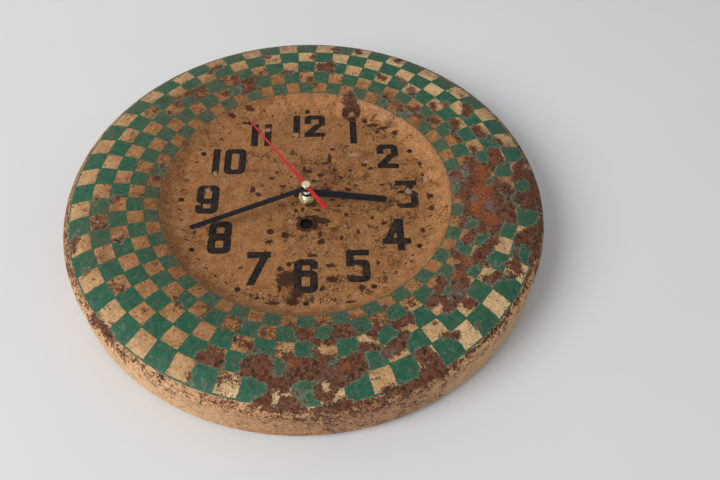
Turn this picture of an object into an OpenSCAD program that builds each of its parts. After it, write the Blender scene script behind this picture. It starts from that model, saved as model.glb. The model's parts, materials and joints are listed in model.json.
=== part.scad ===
// Round checkered wall clock: a pressed steel case with a quartz movement behind its dial.
// The clock lies on its back. +Z points out of the dial, +Y to 12 o'clock, +X to 3 o'clock.
// The origin is on the hands' axis, in the plane of the case's rear rest face.

/* [Case] */
// Outside diameter of the case
case_d = 350; // [346:1:354]
// Height of the dial's front face above the rear rest face
dial_z = 30.5; // [30:0.5:34]
// Thickness of the pressed sheet
sheet = 0.8; // [0.6:0.1:0.9]
// Radius of the line where the checkered border meets the dial well
border_in_r = 107.1; // [105:0.1:109]
// Height of that line above the dial
border_in_h = 8.4; // [7.5:0.1:9]
// Height of the border's crown above the dial
crown_h = 12.3; // [11.5:0.1:13]
// Steepness of the well's wall, in degrees
wall_slope = 50; // [40:1:60]

/* [Dial] */
// Diameter of the centre hole
centre_hole_d = 8.2; // [8.1:0.1:8.5]
// Diameter of the old winding hole
winding_hole_d = 9.6; // [8:0.1:11]
// Distance of the winding hole below the centre
winding_y = 24.3; // [24:0.1:26]

/* [Hands] */
// Hour hand at rest, in degrees clockwise from 12
hour_at = 98; // [0:1:359]
// Minute hand at rest, in degrees clockwise from 12
minute_at = 246.5; // [0:0.5:359.5]
// Second hand at rest, in degrees clockwise from 12
second_at = 327; // [0:0.5:359.5]
// Length of the hour hand from the axis
hour_l = 59.3; // [50:0.1:62]
// Length of the minute hand from the axis
minute_l = 88.2; // [80:0.1:92]
// Length of the second hand from the axis
second_l = 82.5; // [78:0.1:92]
// Length of the second hand's tail from the axis
second_tail = 26.5; // [18:0.5:30]
// Width of the hour hand
hour_w = 6; // [5:0.1:7]
// Width of the minute hand
minute_w = 4.2; // [3.5:0.1:5]

/* [Movement] */
// Side of the square movement
move_w = 56; // [56:0.5:57]
// Thickness of the rubber gasket between movement and dial
gasket_t = 0.8; // [0.6:0.1:0.9]

/* [Hanger] */
// Distance of the keyhole's round part above the hands' axis
hanger_y = 138; // [137:0.5:139]
// Diameter of the keyhole's round part
hanger_d = 10; // [9:0.5:11]

/* [Hidden] */
$fn = 64;

// How far a cut runs past the face that it opens
past = 1;
// Radial clearance of a shaft in its bearing
run = 0.05;

function polar(r, a) = [r * cos(a), r * sin(a)];
function arc(c, r, from, to, steps) = [
    for (i = [0:steps]) c + polar(r, from + (to - from) * i / steps)
];
function backward(list) = [for (i = [len(list) - 1:-1:0]) list[i]];
// Radius of an arc from its crown, run away and drop below it
function arc_radius(away, drop) = (away * away + drop * drop) / (2 * drop);

// Case profile, as touching arcs measured from the dial's front face
case_r = case_d / 2;
crown_in_at = 138;
crown_out_at = 145;
crown_in_r = arc_radius(crown_in_at - border_in_r, crown_h - border_in_h);
crown_in_c = [crown_in_at, crown_h - crown_in_r];
border_slope = asin((crown_in_at - border_in_r) / crown_in_r);
crown_out_r = 60;
crown_out_c = [crown_out_at, crown_h - crown_out_r];
lip_r = 3;
lip_c = [border_in_r, border_in_h] - polar(lip_r, 90 + border_slope);
well_top = lip_c + polar(lip_r, 90 + wall_slope);
well_r = well_top[1] / (1 - cos(wall_slope));
well_c = [well_top[0] - well_r * sin(wall_slope), well_r];
shoulder_angle = 65.2;
shoulder_start = crown_out_c + polar(crown_out_r, shoulder_angle);
shoulder_r = (case_r - shoulder_start[0]) / (1 - cos(shoulder_angle));
shoulder_c = [case_r - shoulder_r, shoulder_start[1] - shoulder_r * sin(shoulder_angle)];
curl_r = 8;
curl_c = [case_r - curl_r, curl_r - dial_z];
flange_in_r = 157;
hole_lip_w = 1.2;
hole_lip_h = 0.7;

// One face of the sheet, t behind the front face
function case_face(t) = concat(
    [[centre_hole_d / 2, -t]],
    arc(well_c, well_r + t, -90, wall_slope - 90, 12),
    arc(lip_c, lip_r - t, 90 + wall_slope, 90 + border_slope, 4),
    arc(crown_in_c, crown_in_r - t, 90 + border_slope, 90, 6),
    arc(crown_out_c, crown_out_r - t, 90, shoulder_angle, 8),
    arc(shoulder_c, shoulder_r - t, shoulder_angle, 0, 10),
    arc(curl_c, curl_r - t, 0, -90, 12),
    [[flange_in_r, t - dial_z]]
);

// Hanging strap, a chord across the rear flange
strap_low = 13;
strap_high = 17;
strap_half_l = 86;
strap_t = 1.5;
strap_r = 166.4;
rivet_x = 77;
rivet_y = 141;
rivet_r = 2;
rivet_head_r = 3.6;
rivet_head_t = 1.2;
slot_w = 5;
slot_l = 9;

// Centre stack, with heights measured from the dial's front face
nut_h = 3;
nut_af = 11;
nut_turn = 10;
bush_r = 4;
bush_top = 5.6;
bush_flange_r = 5.5;
bush_flange_t = 0.7;
gasket_r = 12;
hour_pipe_r = 2.6;
hour_pipe_top = 7.6;
minute_pipe_r = 1.8;
minute_pipe_top = 12.1;
second_shaft_r = 0.5;
second_shaft_top = 14.8;
hour_hub_r = 4.1;
hour_hub_z = 6.3;
hour_hub_t = 1.3;
minute_hub_r = 3.4;
minute_hub_z = 10.6;
minute_hub_t = 1.1;
hand_t = 0.45;
hand_bush_gap = 0.3;
minute_bush_r = 2.8;
hour_bush_r = 3.4;
hour_bush_t = 0.5;
tube_r = 1.9;
tube_gap = 0.2;
second_z = 13.9;
second_hub_r = 2.4;
cap_r = 3.2;
cap_foot_r = 2.5;
cap_top_r = 2.85;
cap_taper_h = 0.7;
cap_rim_h = 0.5;
cap_bevel_h = 0.3;

// Movement levels, from its front face back to its rear face
move_t = 15.5;
front_z = dial_z - sheet - gasket_t;
back_z = front_z - move_t;
wall = 1.2;
front_wall = 1.5;
cover_t = 1.2;
inside_z = front_z - front_wall;
cover_z = back_z + cover_t;
bay_wall_t = 1;
bay_wall_y = -10.2;
corner_r = 2;
inside_w = move_w - 2 * wall;

// Arbors and their bearings
pivot_r = 0.4;
pivot_low = back_z + 0.5;
pivot_high = inside_z + 0.7;
pivot_gap = 0.1;
bearing_r = 1.3;
bearing_h = 0.8;

// Cover screws
screw_r = 0.78;
screw_hole_r = 0.8;
screw_l = 6;
screw_head_r = 1.7;
screw_head_t = 0.9;
screw_slot = 0.4;
screw_post_r = 2;
screw_x = 25;
screw_ys = [25, -7.6];

// Wheel levels, measured back from the movement's inner front wall
wheel_t = 0.7;
hour_wheel_z = inside_z - 1.5;
hour_wheel_t = 0.8;
minute_pinion_t = 1.8;
minute_wheel_z = inside_z - 3.1;
minute_wheel_t = 0.8;
cannon_z = inside_z - 3.3;
cannon_t = 1.3;
center_wheel_z = inside_z - 4.8;
center_hub_r = 3;
center_hub_t = 1.3;
clutch_z = inside_z - 5.5;
clutch_r = 2.6;
clutch_t = 0.5;
third_wheel_z = inside_z - 6.7;
pinion_t = 2.2;
second_wheel_z = inside_z - 8.5;
fifth_wheel_z = inside_z - 10.5;
rotor_pinion_z = inside_z - 10.8;
rotor_pinion_t = 1.3;
magnet_z = inside_z - 9.1;
magnet_r = 2.6;
magnet_t = 2.4;

// Setting knob
knob_r = 6;
knob_t = 3;
knob_gap = 0.5;
knob_shaft_r = 1.5;
knob_ridges = 24;
knob_ridge_h = 0.5;

// Tooth form, in parts of the module and of the pitch
addendum = 0.75;
dedendum = 1.05;
tip_half = 0.11;
root_half = 0.3;

// Tooth counts of the running train, and its modules
rotor_n = 10;
fifth_n = 50;
fifth_pinion_n = 10;
second_n = 60;
second_pinion_n = 8;
third_n = 64;
third_pinion_n = 8;
center_n = 60;
fine_m = 0.25;
train_d = fine_m * (second_pinion_n + third_n) / 2;
center_m = 2 * train_d / (third_pinion_n + center_n);

// Tooth counts of the motion work, and its modules
cannon_n = 12;
minute_n = 36;
minute_pinion_n = 10;
hour_n = 40;
knob_n = 12;
minute_m = 2 * train_d / (cannon_n + minute_n);
hour_m = 2 * train_d / (minute_pinion_n + hour_n);

// Bearing of each arbor from the one it meshes with, and its place
fifth_dir = 0;
rotor_dir = 30;
third_dir = 120;
minute_dir = 180;
knob_dir = 150;
fifth_at = polar(fine_m * (second_n + fifth_pinion_n) / 2, fifth_dir);
rotor_at = fifth_at + polar(fine_m * (fifth_n + rotor_n) / 2, rotor_dir);
third_at = polar(train_d, third_dir);
minute_wheel_at = polar(train_d, minute_dir);
knob_at = minute_wheel_at + polar(minute_m * (minute_n + knob_n) / 2, knob_dir);

// Battery, its contacts and its bay
cell_r = 7.15;
cell_l = 49.2;
cell_x = -25;
cell_y = -19;
cell_z = inside_z - cell_r - 0.25;
button_r = 2.75;
button_l = 1.3;
contact_t = 0.4;
contact_gap = 0.1;
contact_x = cell_x + cell_l + button_l + contact_gap;
contact_half_w = 4;
contact_half_h = 5;
tail_h = 1.5;
tail_end_y = -9.9;
spring_wire_r = 0.3;
spring_turns = 2.5;
spring_low_r = 4.6;
spring_high_r = 2.4;
spring_steps = 50;
spring_sides = 6;

// Coil, its iron and the circuit board
coil_x = 13;
coil_y = 18.5;
coil_z = inside_z - 7.1;
core_l = 22;
core_w = 2.6;
core_t = 1;
bobbin_l = 15.2;
bobbin_w = 7;
bobbin_wall = 0.8;
bobbin_r = 1.9;
winding_r = 3;
peg_r = 0.6;
peg_inset = 1.5;
post_r = 1.2;
stator_t = 1;
stator_z = coil_z - core_t / 2 - stator_t;
stator_r = 5.4;
stator_hole_r = 3.1;
board_low = [6.5, 9.5];
board_high = [20.8, 23.5];
board_z = inside_z - 2.8;
board_t = 0.8;
board_post_r = 1;
board_post_y = 22.3;
chip_at = [17.5, 12.3];
chip_r = 2.3;
chip_t = 0.7;
crystal_r = 1;
crystal_l = 6;
crystal_at = [8, 11.6];

module disc(z, r, t) {
    translate([0, 0, z]) cylinder(r = r, h = t);
}

// A cut through everything between two heights
module bore(z, r, t) {
    translate([0, 0, z - past]) cylinder(r = r, h = t + 2 * past);
}

module ring(z, r, hole_r, t) {
    difference() {
        disc(z, r, t);
        bore(z, hole_r, t);
    }
}

module block(low, high) {
    translate(low) cube(high - low);
}

module rounded_square(w, r) {
    square([w - 2 * r, w], center = true);
    square([w, w - 2 * r], center = true);
    for (x = [-1, 1], y = [-1, 1]) translate([x, y] * (w / 2 - r)) circle(r = r);
}

// Turns a part that is drawn pointing at 12 o'clock
module clockwise(a) {
    rotate([0, 0, -a]) children();
}

module at(place) {
    translate([place[0], place[1], 0]) children();
}

function tooth(a, pitch, root, tip) = [
    polar(root, a - root_half * pitch),
    polar(tip, a - tip_half * pitch),
    polar(tip, a + tip_half * pitch),
    polar(root, a + root_half * pitch)
];

// Bearing of a tooth that leaves a gap for the other wheel, which lies towards dir
function gap_towards(dir, n) = dir + 180 / n;

// A toothed disc; one of its teeth points along the bearing phase
module gear(z, n, m, t, phase) {
    pitch = 360 / n;
    root = m * (n / 2 - dedendum);
    tip = m * (n / 2 + addendum);
    translate([0, 0, z]) linear_extrude(t)
        polygon([for (i = [0:n - 1]) each tooth(phase + i * pitch, pitch, root, tip)]);
}

module dial_case() {
    color("burlywood") difference() {
        translate([0, 0, dial_z]) union() {
            rotate_extrude($fn = 180) polygon(concat(case_face(0), backward(case_face(sheet))));
            translate([0, -winding_y, 0])
                disc(-sheet / 2, winding_hole_d / 2 + hole_lip_w, sheet / 2 + hole_lip_h);
        }
        translate([0, -winding_y, 0]) bore(dial_z - sheet, winding_hole_d / 2, sheet + hole_lip_h);
        for (x = [-1, 1]) at([x * rivet_x, rivet_y]) bore(0, rivet_r, sheet);
    }
}

module hanging_bracket() {
    color("gray") difference() {
        intersection() {
            disc(sheet, strap_r, strap_t, $fn = 180);
            block(
                [-strap_half_l, hanger_y - strap_low, 0],
                [strap_half_l, hanger_y + strap_high, sheet + strap_t + past]
            );
        }
        at([0, hanger_y]) bore(sheet, hanger_d / 2, strap_t);
        block([-slot_w / 2, hanger_y, 0], [slot_w / 2, hanger_y + slot_l, sheet + strap_t + past]);
        at([0, hanger_y + slot_l]) bore(sheet, slot_w / 2, strap_t);
        for (x = [-1, 1]) at([x * rivet_x, rivet_y]) bore(sheet, rivet_r, strap_t);
    }
}

module bracket_rivets() {
    color("silver") for (x = [-1, 1]) at([x * rivet_x, rivet_y]) {
        disc(0, rivet_r, sheet + strap_t + rivet_head_t / 2);
        disc(sheet + strap_t, rivet_head_r, rivet_head_t);
    }
}

module rubber_gasket() {
    color("dimgray") ring(front_z, gasket_r, bush_r + pivot_gap, gasket_t);
}

module hex_nut() {
    color("gold") translate([0, 0, dial_z]) difference() {
        rotate([0, 0, 90 - nut_turn]) cylinder(r = nut_af / 2 / cos(30), h = nut_h, $fn = 6);
        bore(0, bush_r + run / 2, nut_h);
    }
}

module threaded_bushing() {
    color("gold") difference() {
        union() {
            disc(inside_z, bush_flange_r, bush_flange_t);
            disc(inside_z, bush_r, dial_z + bush_top - inside_z);
        }
        bore(inside_z, hour_pipe_r + run, dial_z + bush_top - inside_z);
    }
}

module baton(length, width, t) {
    corner = width / 3;
    linear_extrude(t) {
        translate([-width / 2, 0]) square([width, length - corner]);
        translate([corner - width / 2, 0]) square([width - 2 * corner, length]);
        for (x = [-1, 1]) translate([x * (width / 2 - corner), length - corner]) circle(r = corner);
    }
}

module baton_hand(length, width, hub_z, hub_r, hub_t, pipe_r) {
    difference() {
        union() {
            disc(hub_z, hub_r, hub_t);
            translate([0, 0, hub_z + (hub_t - hand_t) / 2]) baton(length, width, hand_t);
        }
        bore(hub_z, pipe_r, hub_t);
    }
}

module hour_hand() {
    color("black") translate([0, 0, dial_z]) clockwise(hour_at)
        baton_hand(hour_l, hour_w, hour_hub_z, hour_hub_r, hour_hub_t, hour_pipe_r);
}

module hour_hand_bushing() {
    color("silver") ring(dial_z + hour_hub_z + hour_hub_t, hour_bush_r, hour_pipe_r - run, hour_bush_t);
}

module minute_hand() {
    color("black") translate([0, 0, dial_z]) clockwise(minute_at)
        baton_hand(minute_l, minute_w, minute_hub_z, minute_hub_r, minute_hub_t, minute_pipe_r);
}

// A collar pressed into the minute hand from below
module minute_hand_bushing() {
    low = dial_z + hour_hub_z + hour_hub_t + hour_bush_t + hand_bush_gap;
    color("silver") ring(low, minute_bush_r, minute_pipe_r, dial_z + minute_hub_z - low);
}

module second_hand() {
    tail_r = 1.7;
    waist = 1.25;
    tip = 0.55;
    color("red") translate([0, 0, dial_z + second_z]) clockwise(second_at) difference() {
        linear_extrude(hand_t) {
            circle(r = second_hub_r);
            polygon([
                [-tail_r, tail_r - second_tail], [tail_r, tail_r - second_tail],
                [waist, 0], [tip, second_l], [-tip, second_l], [-waist, 0]
            ]);
            translate([0, tail_r - second_tail]) circle(r = tail_r);
        }
        bore(0, second_shaft_r, hand_t);
    }
}

module second_hand_tube() {
    low = minute_pipe_top + tube_gap;
    color("silver") ring(dial_z + low, tube_r, second_shaft_r, second_z - low);
}

module second_hand_cap() {
    foot = dial_z + second_z + hand_t;
    color("gold") difference() {
        union() {
            translate([0, 0, foot]) cylinder(r1 = cap_foot_r, r2 = cap_r, h = cap_taper_h);
            disc(foot + cap_taper_h, cap_r, cap_rim_h);
            translate([0, 0, foot + cap_taper_h + cap_rim_h])
                cylinder(r1 = cap_r, r2 = cap_top_r, h = cap_bevel_h);
        }
        disc(foot - past, second_shaft_r, dial_z + second_shaft_top - foot + past);
    }
}

// Places of the arbors that turn between two plain bearings
module arbor_places() {
    for (place = [fifth_at, rotor_at, third_at, minute_wheel_at]) at(place) children();
}

module screw_places() {
    for (x = [-1, 1], y = screw_ys) at([x * screw_x, y]) children();
}

module coil_peg_places() {
    for (x = [-1, 1]) at([coil_x + x * (core_l / 2 - peg_inset), coil_y]) children();
}

module movement_housing() {
    half = inside_w / 2;
    core_top = coil_z + core_t / 2;
    pivot_hole_l = pivot_high - inside_z + past + pivot_gap;
    color("dimgray") difference() {
        union() {
            difference() {
                translate([0, 0, back_z]) linear_extrude(move_t) rounded_square(move_w, corner_r);
                block([-half, bay_wall_y, back_z - past], [half, half, inside_z]);
                block([-half, -half, back_z - past], [half, bay_wall_y - bay_wall_t, inside_z]);
                block([-move_w, bay_wall_y, back_z - past], [move_w, move_w, cover_z]);
            }
            screw_places() disc(cover_z, screw_post_r, inside_z - cover_z);
            coil_peg_places() {
                disc(core_top, post_r, inside_z - core_top);
                disc(stator_z, peg_r, inside_z - stator_z);
            }
            for (x = [board_low[0] + 2, board_high[0] - 2]) at([x, board_post_y])
                disc(board_z + board_t, board_post_r, inside_z - board_z - board_t);
        }
        disc(inside_z - past, bush_flange_r, bush_flange_t + past);
        disc(inside_z, bush_r, front_wall + past);
        arbor_places() disc(inside_z - past, pivot_r + run, pivot_hole_l);
        at(knob_at) disc(inside_z - past, pivot_r + run, pivot_hole_l);
        screw_places() disc(cover_z - past, screw_hole_r, screw_l + past);
        contact_slot();
    }
}

// Slot in the bay wall for the positive contact's tail
module contact_slot() {
    block(
        [contact_x - contact_gap, bay_wall_y - bay_wall_t - past, cell_z - contact_gap],
        [contact_x + contact_t + contact_gap, bay_wall_y + past, cell_z + tail_h + contact_gap]
    );
}

module movement_back_cover() {
    color("dimgray") difference() {
        union() {
            intersection() {
                translate([0, 0, back_z]) linear_extrude(cover_t) rounded_square(move_w, corner_r);
                block([-move_w, bay_wall_y + run, 0], [move_w, move_w, dial_z]);
            }
            arbor_places() disc(back_z, bearing_r, cover_t + bearing_h);
            disc(back_z, bearing_r, cover_t + bearing_h);
        }
        arbor_places() disc(pivot_low - pivot_gap, pivot_r + run, cover_t + bearing_h);
        disc(pivot_low - pivot_gap, second_shaft_r + run, cover_t + bearing_h);
        at(knob_at) bore(back_z, knob_shaft_r + run, cover_t);
        screw_places() bore(back_z, screw_hole_r, cover_t);
    }
}

module cover_screws() {
    color("silver") screw_places() difference() {
        union() {
            disc(back_z - screw_head_t, screw_head_r, screw_head_t);
            disc(back_z - screw_head_t, screw_r, screw_head_t + cover_t + screw_l - pivot_gap);
        }
        for (a = [0, 90]) rotate([0, 0, a]) block(
            [-screw_head_r * 0.7, -screw_slot / 2, back_z - screw_head_t - past],
            [screw_head_r * 0.7, screw_slot / 2, back_z - screw_head_t + screw_slot]
        );
    }
}

module battery() {
    color("goldenrod") translate([cell_x, cell_y, cell_z]) rotate([0, 90, 0]) {
        cylinder(r = cell_r, h = cell_l);
        cylinder(r = button_r, h = cell_l + button_l);
    }
}

module battery_positive_contact() {
    color("silver") {
        block(
            [contact_x, cell_y - contact_half_w, cell_z - contact_half_h],
            [contact_x + contact_t, cell_y + contact_half_w, cell_z + contact_half_h]
        );
        block([contact_x, cell_y, cell_z], [contact_x + contact_t, tail_end_y, cell_z + tail_h]);
    }
}

// A flat-wound conical spring, swept along a helix about the cell's axis
module battery_negative_spring() {
    low_x = -inside_w / 2 + spring_wire_r;
    high_x = cell_x - spring_wire_r - contact_gap;
    rings = [for (i = [0:spring_steps])
        let (
            part = i / spring_steps,
            a = part * spring_turns * 360,
            r = spring_low_r + (spring_high_r - spring_low_r) * part,
            x = low_x + (high_x - low_x) * part
        )
        [for (j = [0:spring_sides - 1])
            let (b = -j * 360 / spring_sides, d = r + spring_wire_r * cos(b))
            [x + spring_wire_r * sin(b), cell_y + d * cos(a), cell_z + d * sin(a)]]
    ];
    sides = spring_sides;
    walls = [for (i = [0:spring_steps - 1], j = [0:sides - 1])
        [i * sides + j, i * sides + (j + 1) % sides, (i + 1) * sides + (j + 1) % sides, (i + 1) * sides + j]
    ];
    first_end = [for (j = [sides - 1:-1:0]) j];
    last_end = [for (j = [0:sides - 1]) spring_steps * sides + j];
    color("silver") polyhedron([for (r = rings) each r], concat([first_end], walls, [last_end]));
}

module circuit_board() {
    color("green") block(
        [board_low[0], board_low[1], board_z],
        [board_high[0], board_high[1], board_z + board_t]
    );
}

module driver_chip() {
    color("black") at(chip_at) disc(board_z - chip_t, chip_r, chip_t);
}

module quartz_crystal() {
    color("silver") at(crystal_at) translate([0, 0, board_z - crystal_r])
        rotate([0, 90, 0]) cylinder(r = crystal_r, h = crystal_l);
}

// Draws along the coil's axis, from its middle
module on_coil_axis() {
    translate([coil_x, coil_y, coil_z]) rotate([0, 90, 0]) children();
}

module core_bar(extra) {
    block(
        [coil_x - core_l / 2, coil_y - core_w / 2 - extra, coil_z - core_t / 2 - extra],
        [coil_x + core_l / 2, coil_y + core_w / 2 + extra, coil_z + core_t / 2 + extra]
    );
}

module coil_bobbin() {
    color("ivory") difference() {
        on_coil_axis() {
            cylinder(r = bobbin_r, h = bobbin_l, center = true);
            for (side = [-1, 1]) translate([0, 0, side * (bobbin_l - bobbin_wall) / 2])
                cube([bobbin_w, bobbin_w, bobbin_wall], center = true);
        }
        core_bar(run / 2);
    }
}

module coil_winding() {
    length = bobbin_l - 2 * bobbin_wall;
    color("chocolate") on_coil_axis() difference() {
        cylinder(r = winding_r, h = length, center = true);
        cylinder(r = bobbin_r, h = length + past, center = true);
    }
}

module coil_core() {
    color("gray") difference() {
        core_bar(0);
        coil_peg_places() bore(coil_z - core_t / 2, peg_r + run / 2, core_t);
    }
}

// Iron plate that joins both ends of the core to the rotor
module stator_plate() {
    end_y = coil_y + core_w / 2;
    left = coil_x - core_l / 2;
    right = coil_x + core_l / 2;
    leg = 3.2;
    bend_y = coil_y - 3.9;
    color("gray") difference() {
        union() {
            at(rotor_at) disc(stator_z, stator_r, stator_t);
            translate([0, 0, stator_z]) linear_extrude(stator_t) polygon([
                [left, end_y], [left + leg, end_y], [left + leg, bend_y],
                rotor_at + [-2, 4.6], rotor_at + [-4.9, 1.6], [left, bend_y]
            ]);
            translate([0, 0, stator_z]) linear_extrude(stator_t) polygon([
                [right, end_y], [right - leg, end_y], [right - leg, bend_y - 2],
                rotor_at + [2, 4.8], rotor_at + [4.6, -1], [right, bend_y - 4]
            ]);
        }
        at(rotor_at) bore(stator_z, stator_hole_r, stator_t);
        coil_peg_places() bore(stator_z, peg_r + run / 2, stator_t);
    }
}

module arbor() {
    disc(pivot_low, pivot_r, pivot_high - pivot_low);
}

module rotor_magnet() {
    color("dimgray") at(rotor_at) ring(magnet_z, magnet_r, pivot_r, magnet_t);
}

module rotor_pinion() {
    color("ivory") at(rotor_at) {
        arbor();
        gear(rotor_pinion_z, rotor_n, fine_m, rotor_pinion_t, gap_towards(rotor_dir + 180, rotor_n));
    }
}

module fifth_wheel() {
    color("ivory") at(fifth_at) {
        arbor();
        gear(fifth_wheel_z, fifth_n, fine_m, wheel_t, rotor_dir);
        gear(
            fifth_wheel_z + wheel_t, fifth_pinion_n, fine_m, pinion_t,
            gap_towards(fifth_dir + 180, fifth_pinion_n)
        );
    }
}

module second_wheel() {
    color("ivory") {
        disc(pivot_low, second_shaft_r, dial_z + second_shaft_top - pivot_low);
        gear(second_wheel_z, second_n, fine_m, wheel_t, fifth_dir);
        gear(
            second_wheel_z + wheel_t, second_pinion_n, fine_m, pinion_t - pivot_gap,
            gap_towards(third_dir, second_pinion_n)
        );
    }
}

module third_wheel() {
    color("ivory") at(third_at) {
        arbor();
        gear(third_wheel_z, third_n, fine_m, wheel_t, third_dir + 180);
        gear(
            third_wheel_z + wheel_t, third_pinion_n, center_m, pinion_t,
            gap_towards(third_dir + 180, third_pinion_n)
        );
    }
}

// Slips on the minute pipe when the hands are set
module center_wheel() {
    color("ivory") difference() {
        union() {
            gear(center_wheel_z, center_n, center_m, wheel_t, third_dir);
            disc(center_wheel_z, center_hub_r, center_hub_t);
        }
        bore(center_wheel_z, minute_pipe_r + run, center_hub_t);
    }
}

module minute_pipe() {
    color("silver") difference() {
        union() {
            disc(clutch_z, clutch_r, clutch_t);
            disc(clutch_z, minute_pipe_r, dial_z + minute_pipe_top - clutch_z);
            gear(cannon_z, cannon_n, minute_m, cannon_t, gap_towards(minute_dir, cannon_n));
        }
        bore(clutch_z, second_shaft_r + run, dial_z + minute_pipe_top - clutch_z);
    }
}

module minute_wheel() {
    color("ivory") at(minute_wheel_at) {
        arbor();
        gear(minute_wheel_z, minute_n, minute_m, minute_wheel_t, minute_dir + 180);
        gear(
            minute_wheel_z + minute_wheel_t, minute_pinion_n, hour_m, minute_pinion_t,
            gap_towards(minute_dir + 180, minute_pinion_n)
        );
    }
}

module hour_wheel() {
    color("ivory") difference() {
        union() {
            gear(hour_wheel_z, hour_n, hour_m, hour_wheel_t, minute_dir);
            disc(hour_wheel_z, hour_pipe_r, dial_z + hour_pipe_top - hour_wheel_z);
        }
        bore(hour_wheel_z, minute_pipe_r + run, dial_z + hour_pipe_top - hour_wheel_z);
    }
}

module setting_knob() {
    top = back_z - knob_gap;
    color("white") at(knob_at) {
        difference() {
            disc(top - knob_t, knob_r, knob_t);
            for (i = [0:knob_ridges - 1]) rotate([0, 0, i * 360 / knob_ridges])
                translate([knob_r + knob_ridge_h / 4, 0, 0]) bore(top - knob_t, knob_ridge_h, knob_t);
        }
        disc(top, knob_shaft_r, cannon_z - top);
        disc(cannon_z, pivot_r, pivot_high - cannon_z);
        gear(cannon_z, knob_n, minute_m, cannon_t, gap_towards(knob_dir + 180, knob_n));
    }
}

dial_case();
hanging_bracket();
bracket_rivets();
rubber_gasket();
hex_nut();
threaded_bushing();
hour_hand();
hour_hand_bushing();
minute_hand();
minute_hand_bushing();
second_hand();
second_hand_tube();
second_hand_cap();
movement_housing();
movement_back_cover();
cover_screws();
battery();
battery_positive_contact();
battery_negative_spring();
circuit_board();
driver_chip();
quartz_crystal();
coil_bobbin();
coil_winding();
coil_core();
stator_plate();
rotor_magnet();
rotor_pinion();
fifth_wheel();
second_wheel();
third_wheel();
center_wheel();
minute_pipe();
minute_wheel();
hour_wheel();
setting_knob();
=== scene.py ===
"""Looks for the round checkered wall clock: painted, rusted steel case, hands and movement."""

import json
import math
from functools import partial, reduce

import bmesh
import bpy
import numpy as np
from mathutils import Matrix, Vector


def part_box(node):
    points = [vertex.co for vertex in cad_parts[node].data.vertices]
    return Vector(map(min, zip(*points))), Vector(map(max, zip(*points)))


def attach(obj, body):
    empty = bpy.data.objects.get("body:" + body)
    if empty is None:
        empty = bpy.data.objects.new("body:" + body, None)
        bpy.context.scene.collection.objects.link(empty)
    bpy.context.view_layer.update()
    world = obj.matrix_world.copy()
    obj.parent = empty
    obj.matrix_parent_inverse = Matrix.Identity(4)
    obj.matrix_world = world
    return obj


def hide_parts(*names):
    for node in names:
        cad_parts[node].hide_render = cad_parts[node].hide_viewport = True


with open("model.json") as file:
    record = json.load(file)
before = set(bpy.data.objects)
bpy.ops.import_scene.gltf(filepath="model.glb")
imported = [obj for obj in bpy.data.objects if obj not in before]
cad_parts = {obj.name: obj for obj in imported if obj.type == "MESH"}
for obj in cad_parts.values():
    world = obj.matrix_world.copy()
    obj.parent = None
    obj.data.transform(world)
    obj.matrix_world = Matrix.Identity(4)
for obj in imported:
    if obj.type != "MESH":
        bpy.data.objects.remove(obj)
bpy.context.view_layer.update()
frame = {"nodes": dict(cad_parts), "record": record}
MM = 0.001

# ---------------------------------------------------------------- sizes from the frame
_, case_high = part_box("dial_case")
nut_low, nut_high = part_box("hex_nut")
CASE_R = case_high.x
DIAL_Z = nut_low.z
CROWN_H = case_high.z - DIAL_Z
SHEET = 0.8 * MM
SEED = 7

# The checkered border: its ring edges' radii in mm, its sectors, and the degrees of one sector's edge
RING_EDGES = [107.1, 116.8, 128.4, 140.9, 153.8, 169.1]
SECTORS = 64
SECTOR_START = 8.17
# The old winding hole: how far below the hands' axis it is, and its radius, in mm
WINDING_Y = 24.3
WINDING_R = 4.8
# The minute track's radius in mm, and how far the nut is turned, in degrees
DOT_R = 92.6
NUT_TURN = 10
# Where the dial starts to rise into the well's wall, and the radius of that curve, in mm
WELL_START = 89.6
WELL_CURVE = 20.8

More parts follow.
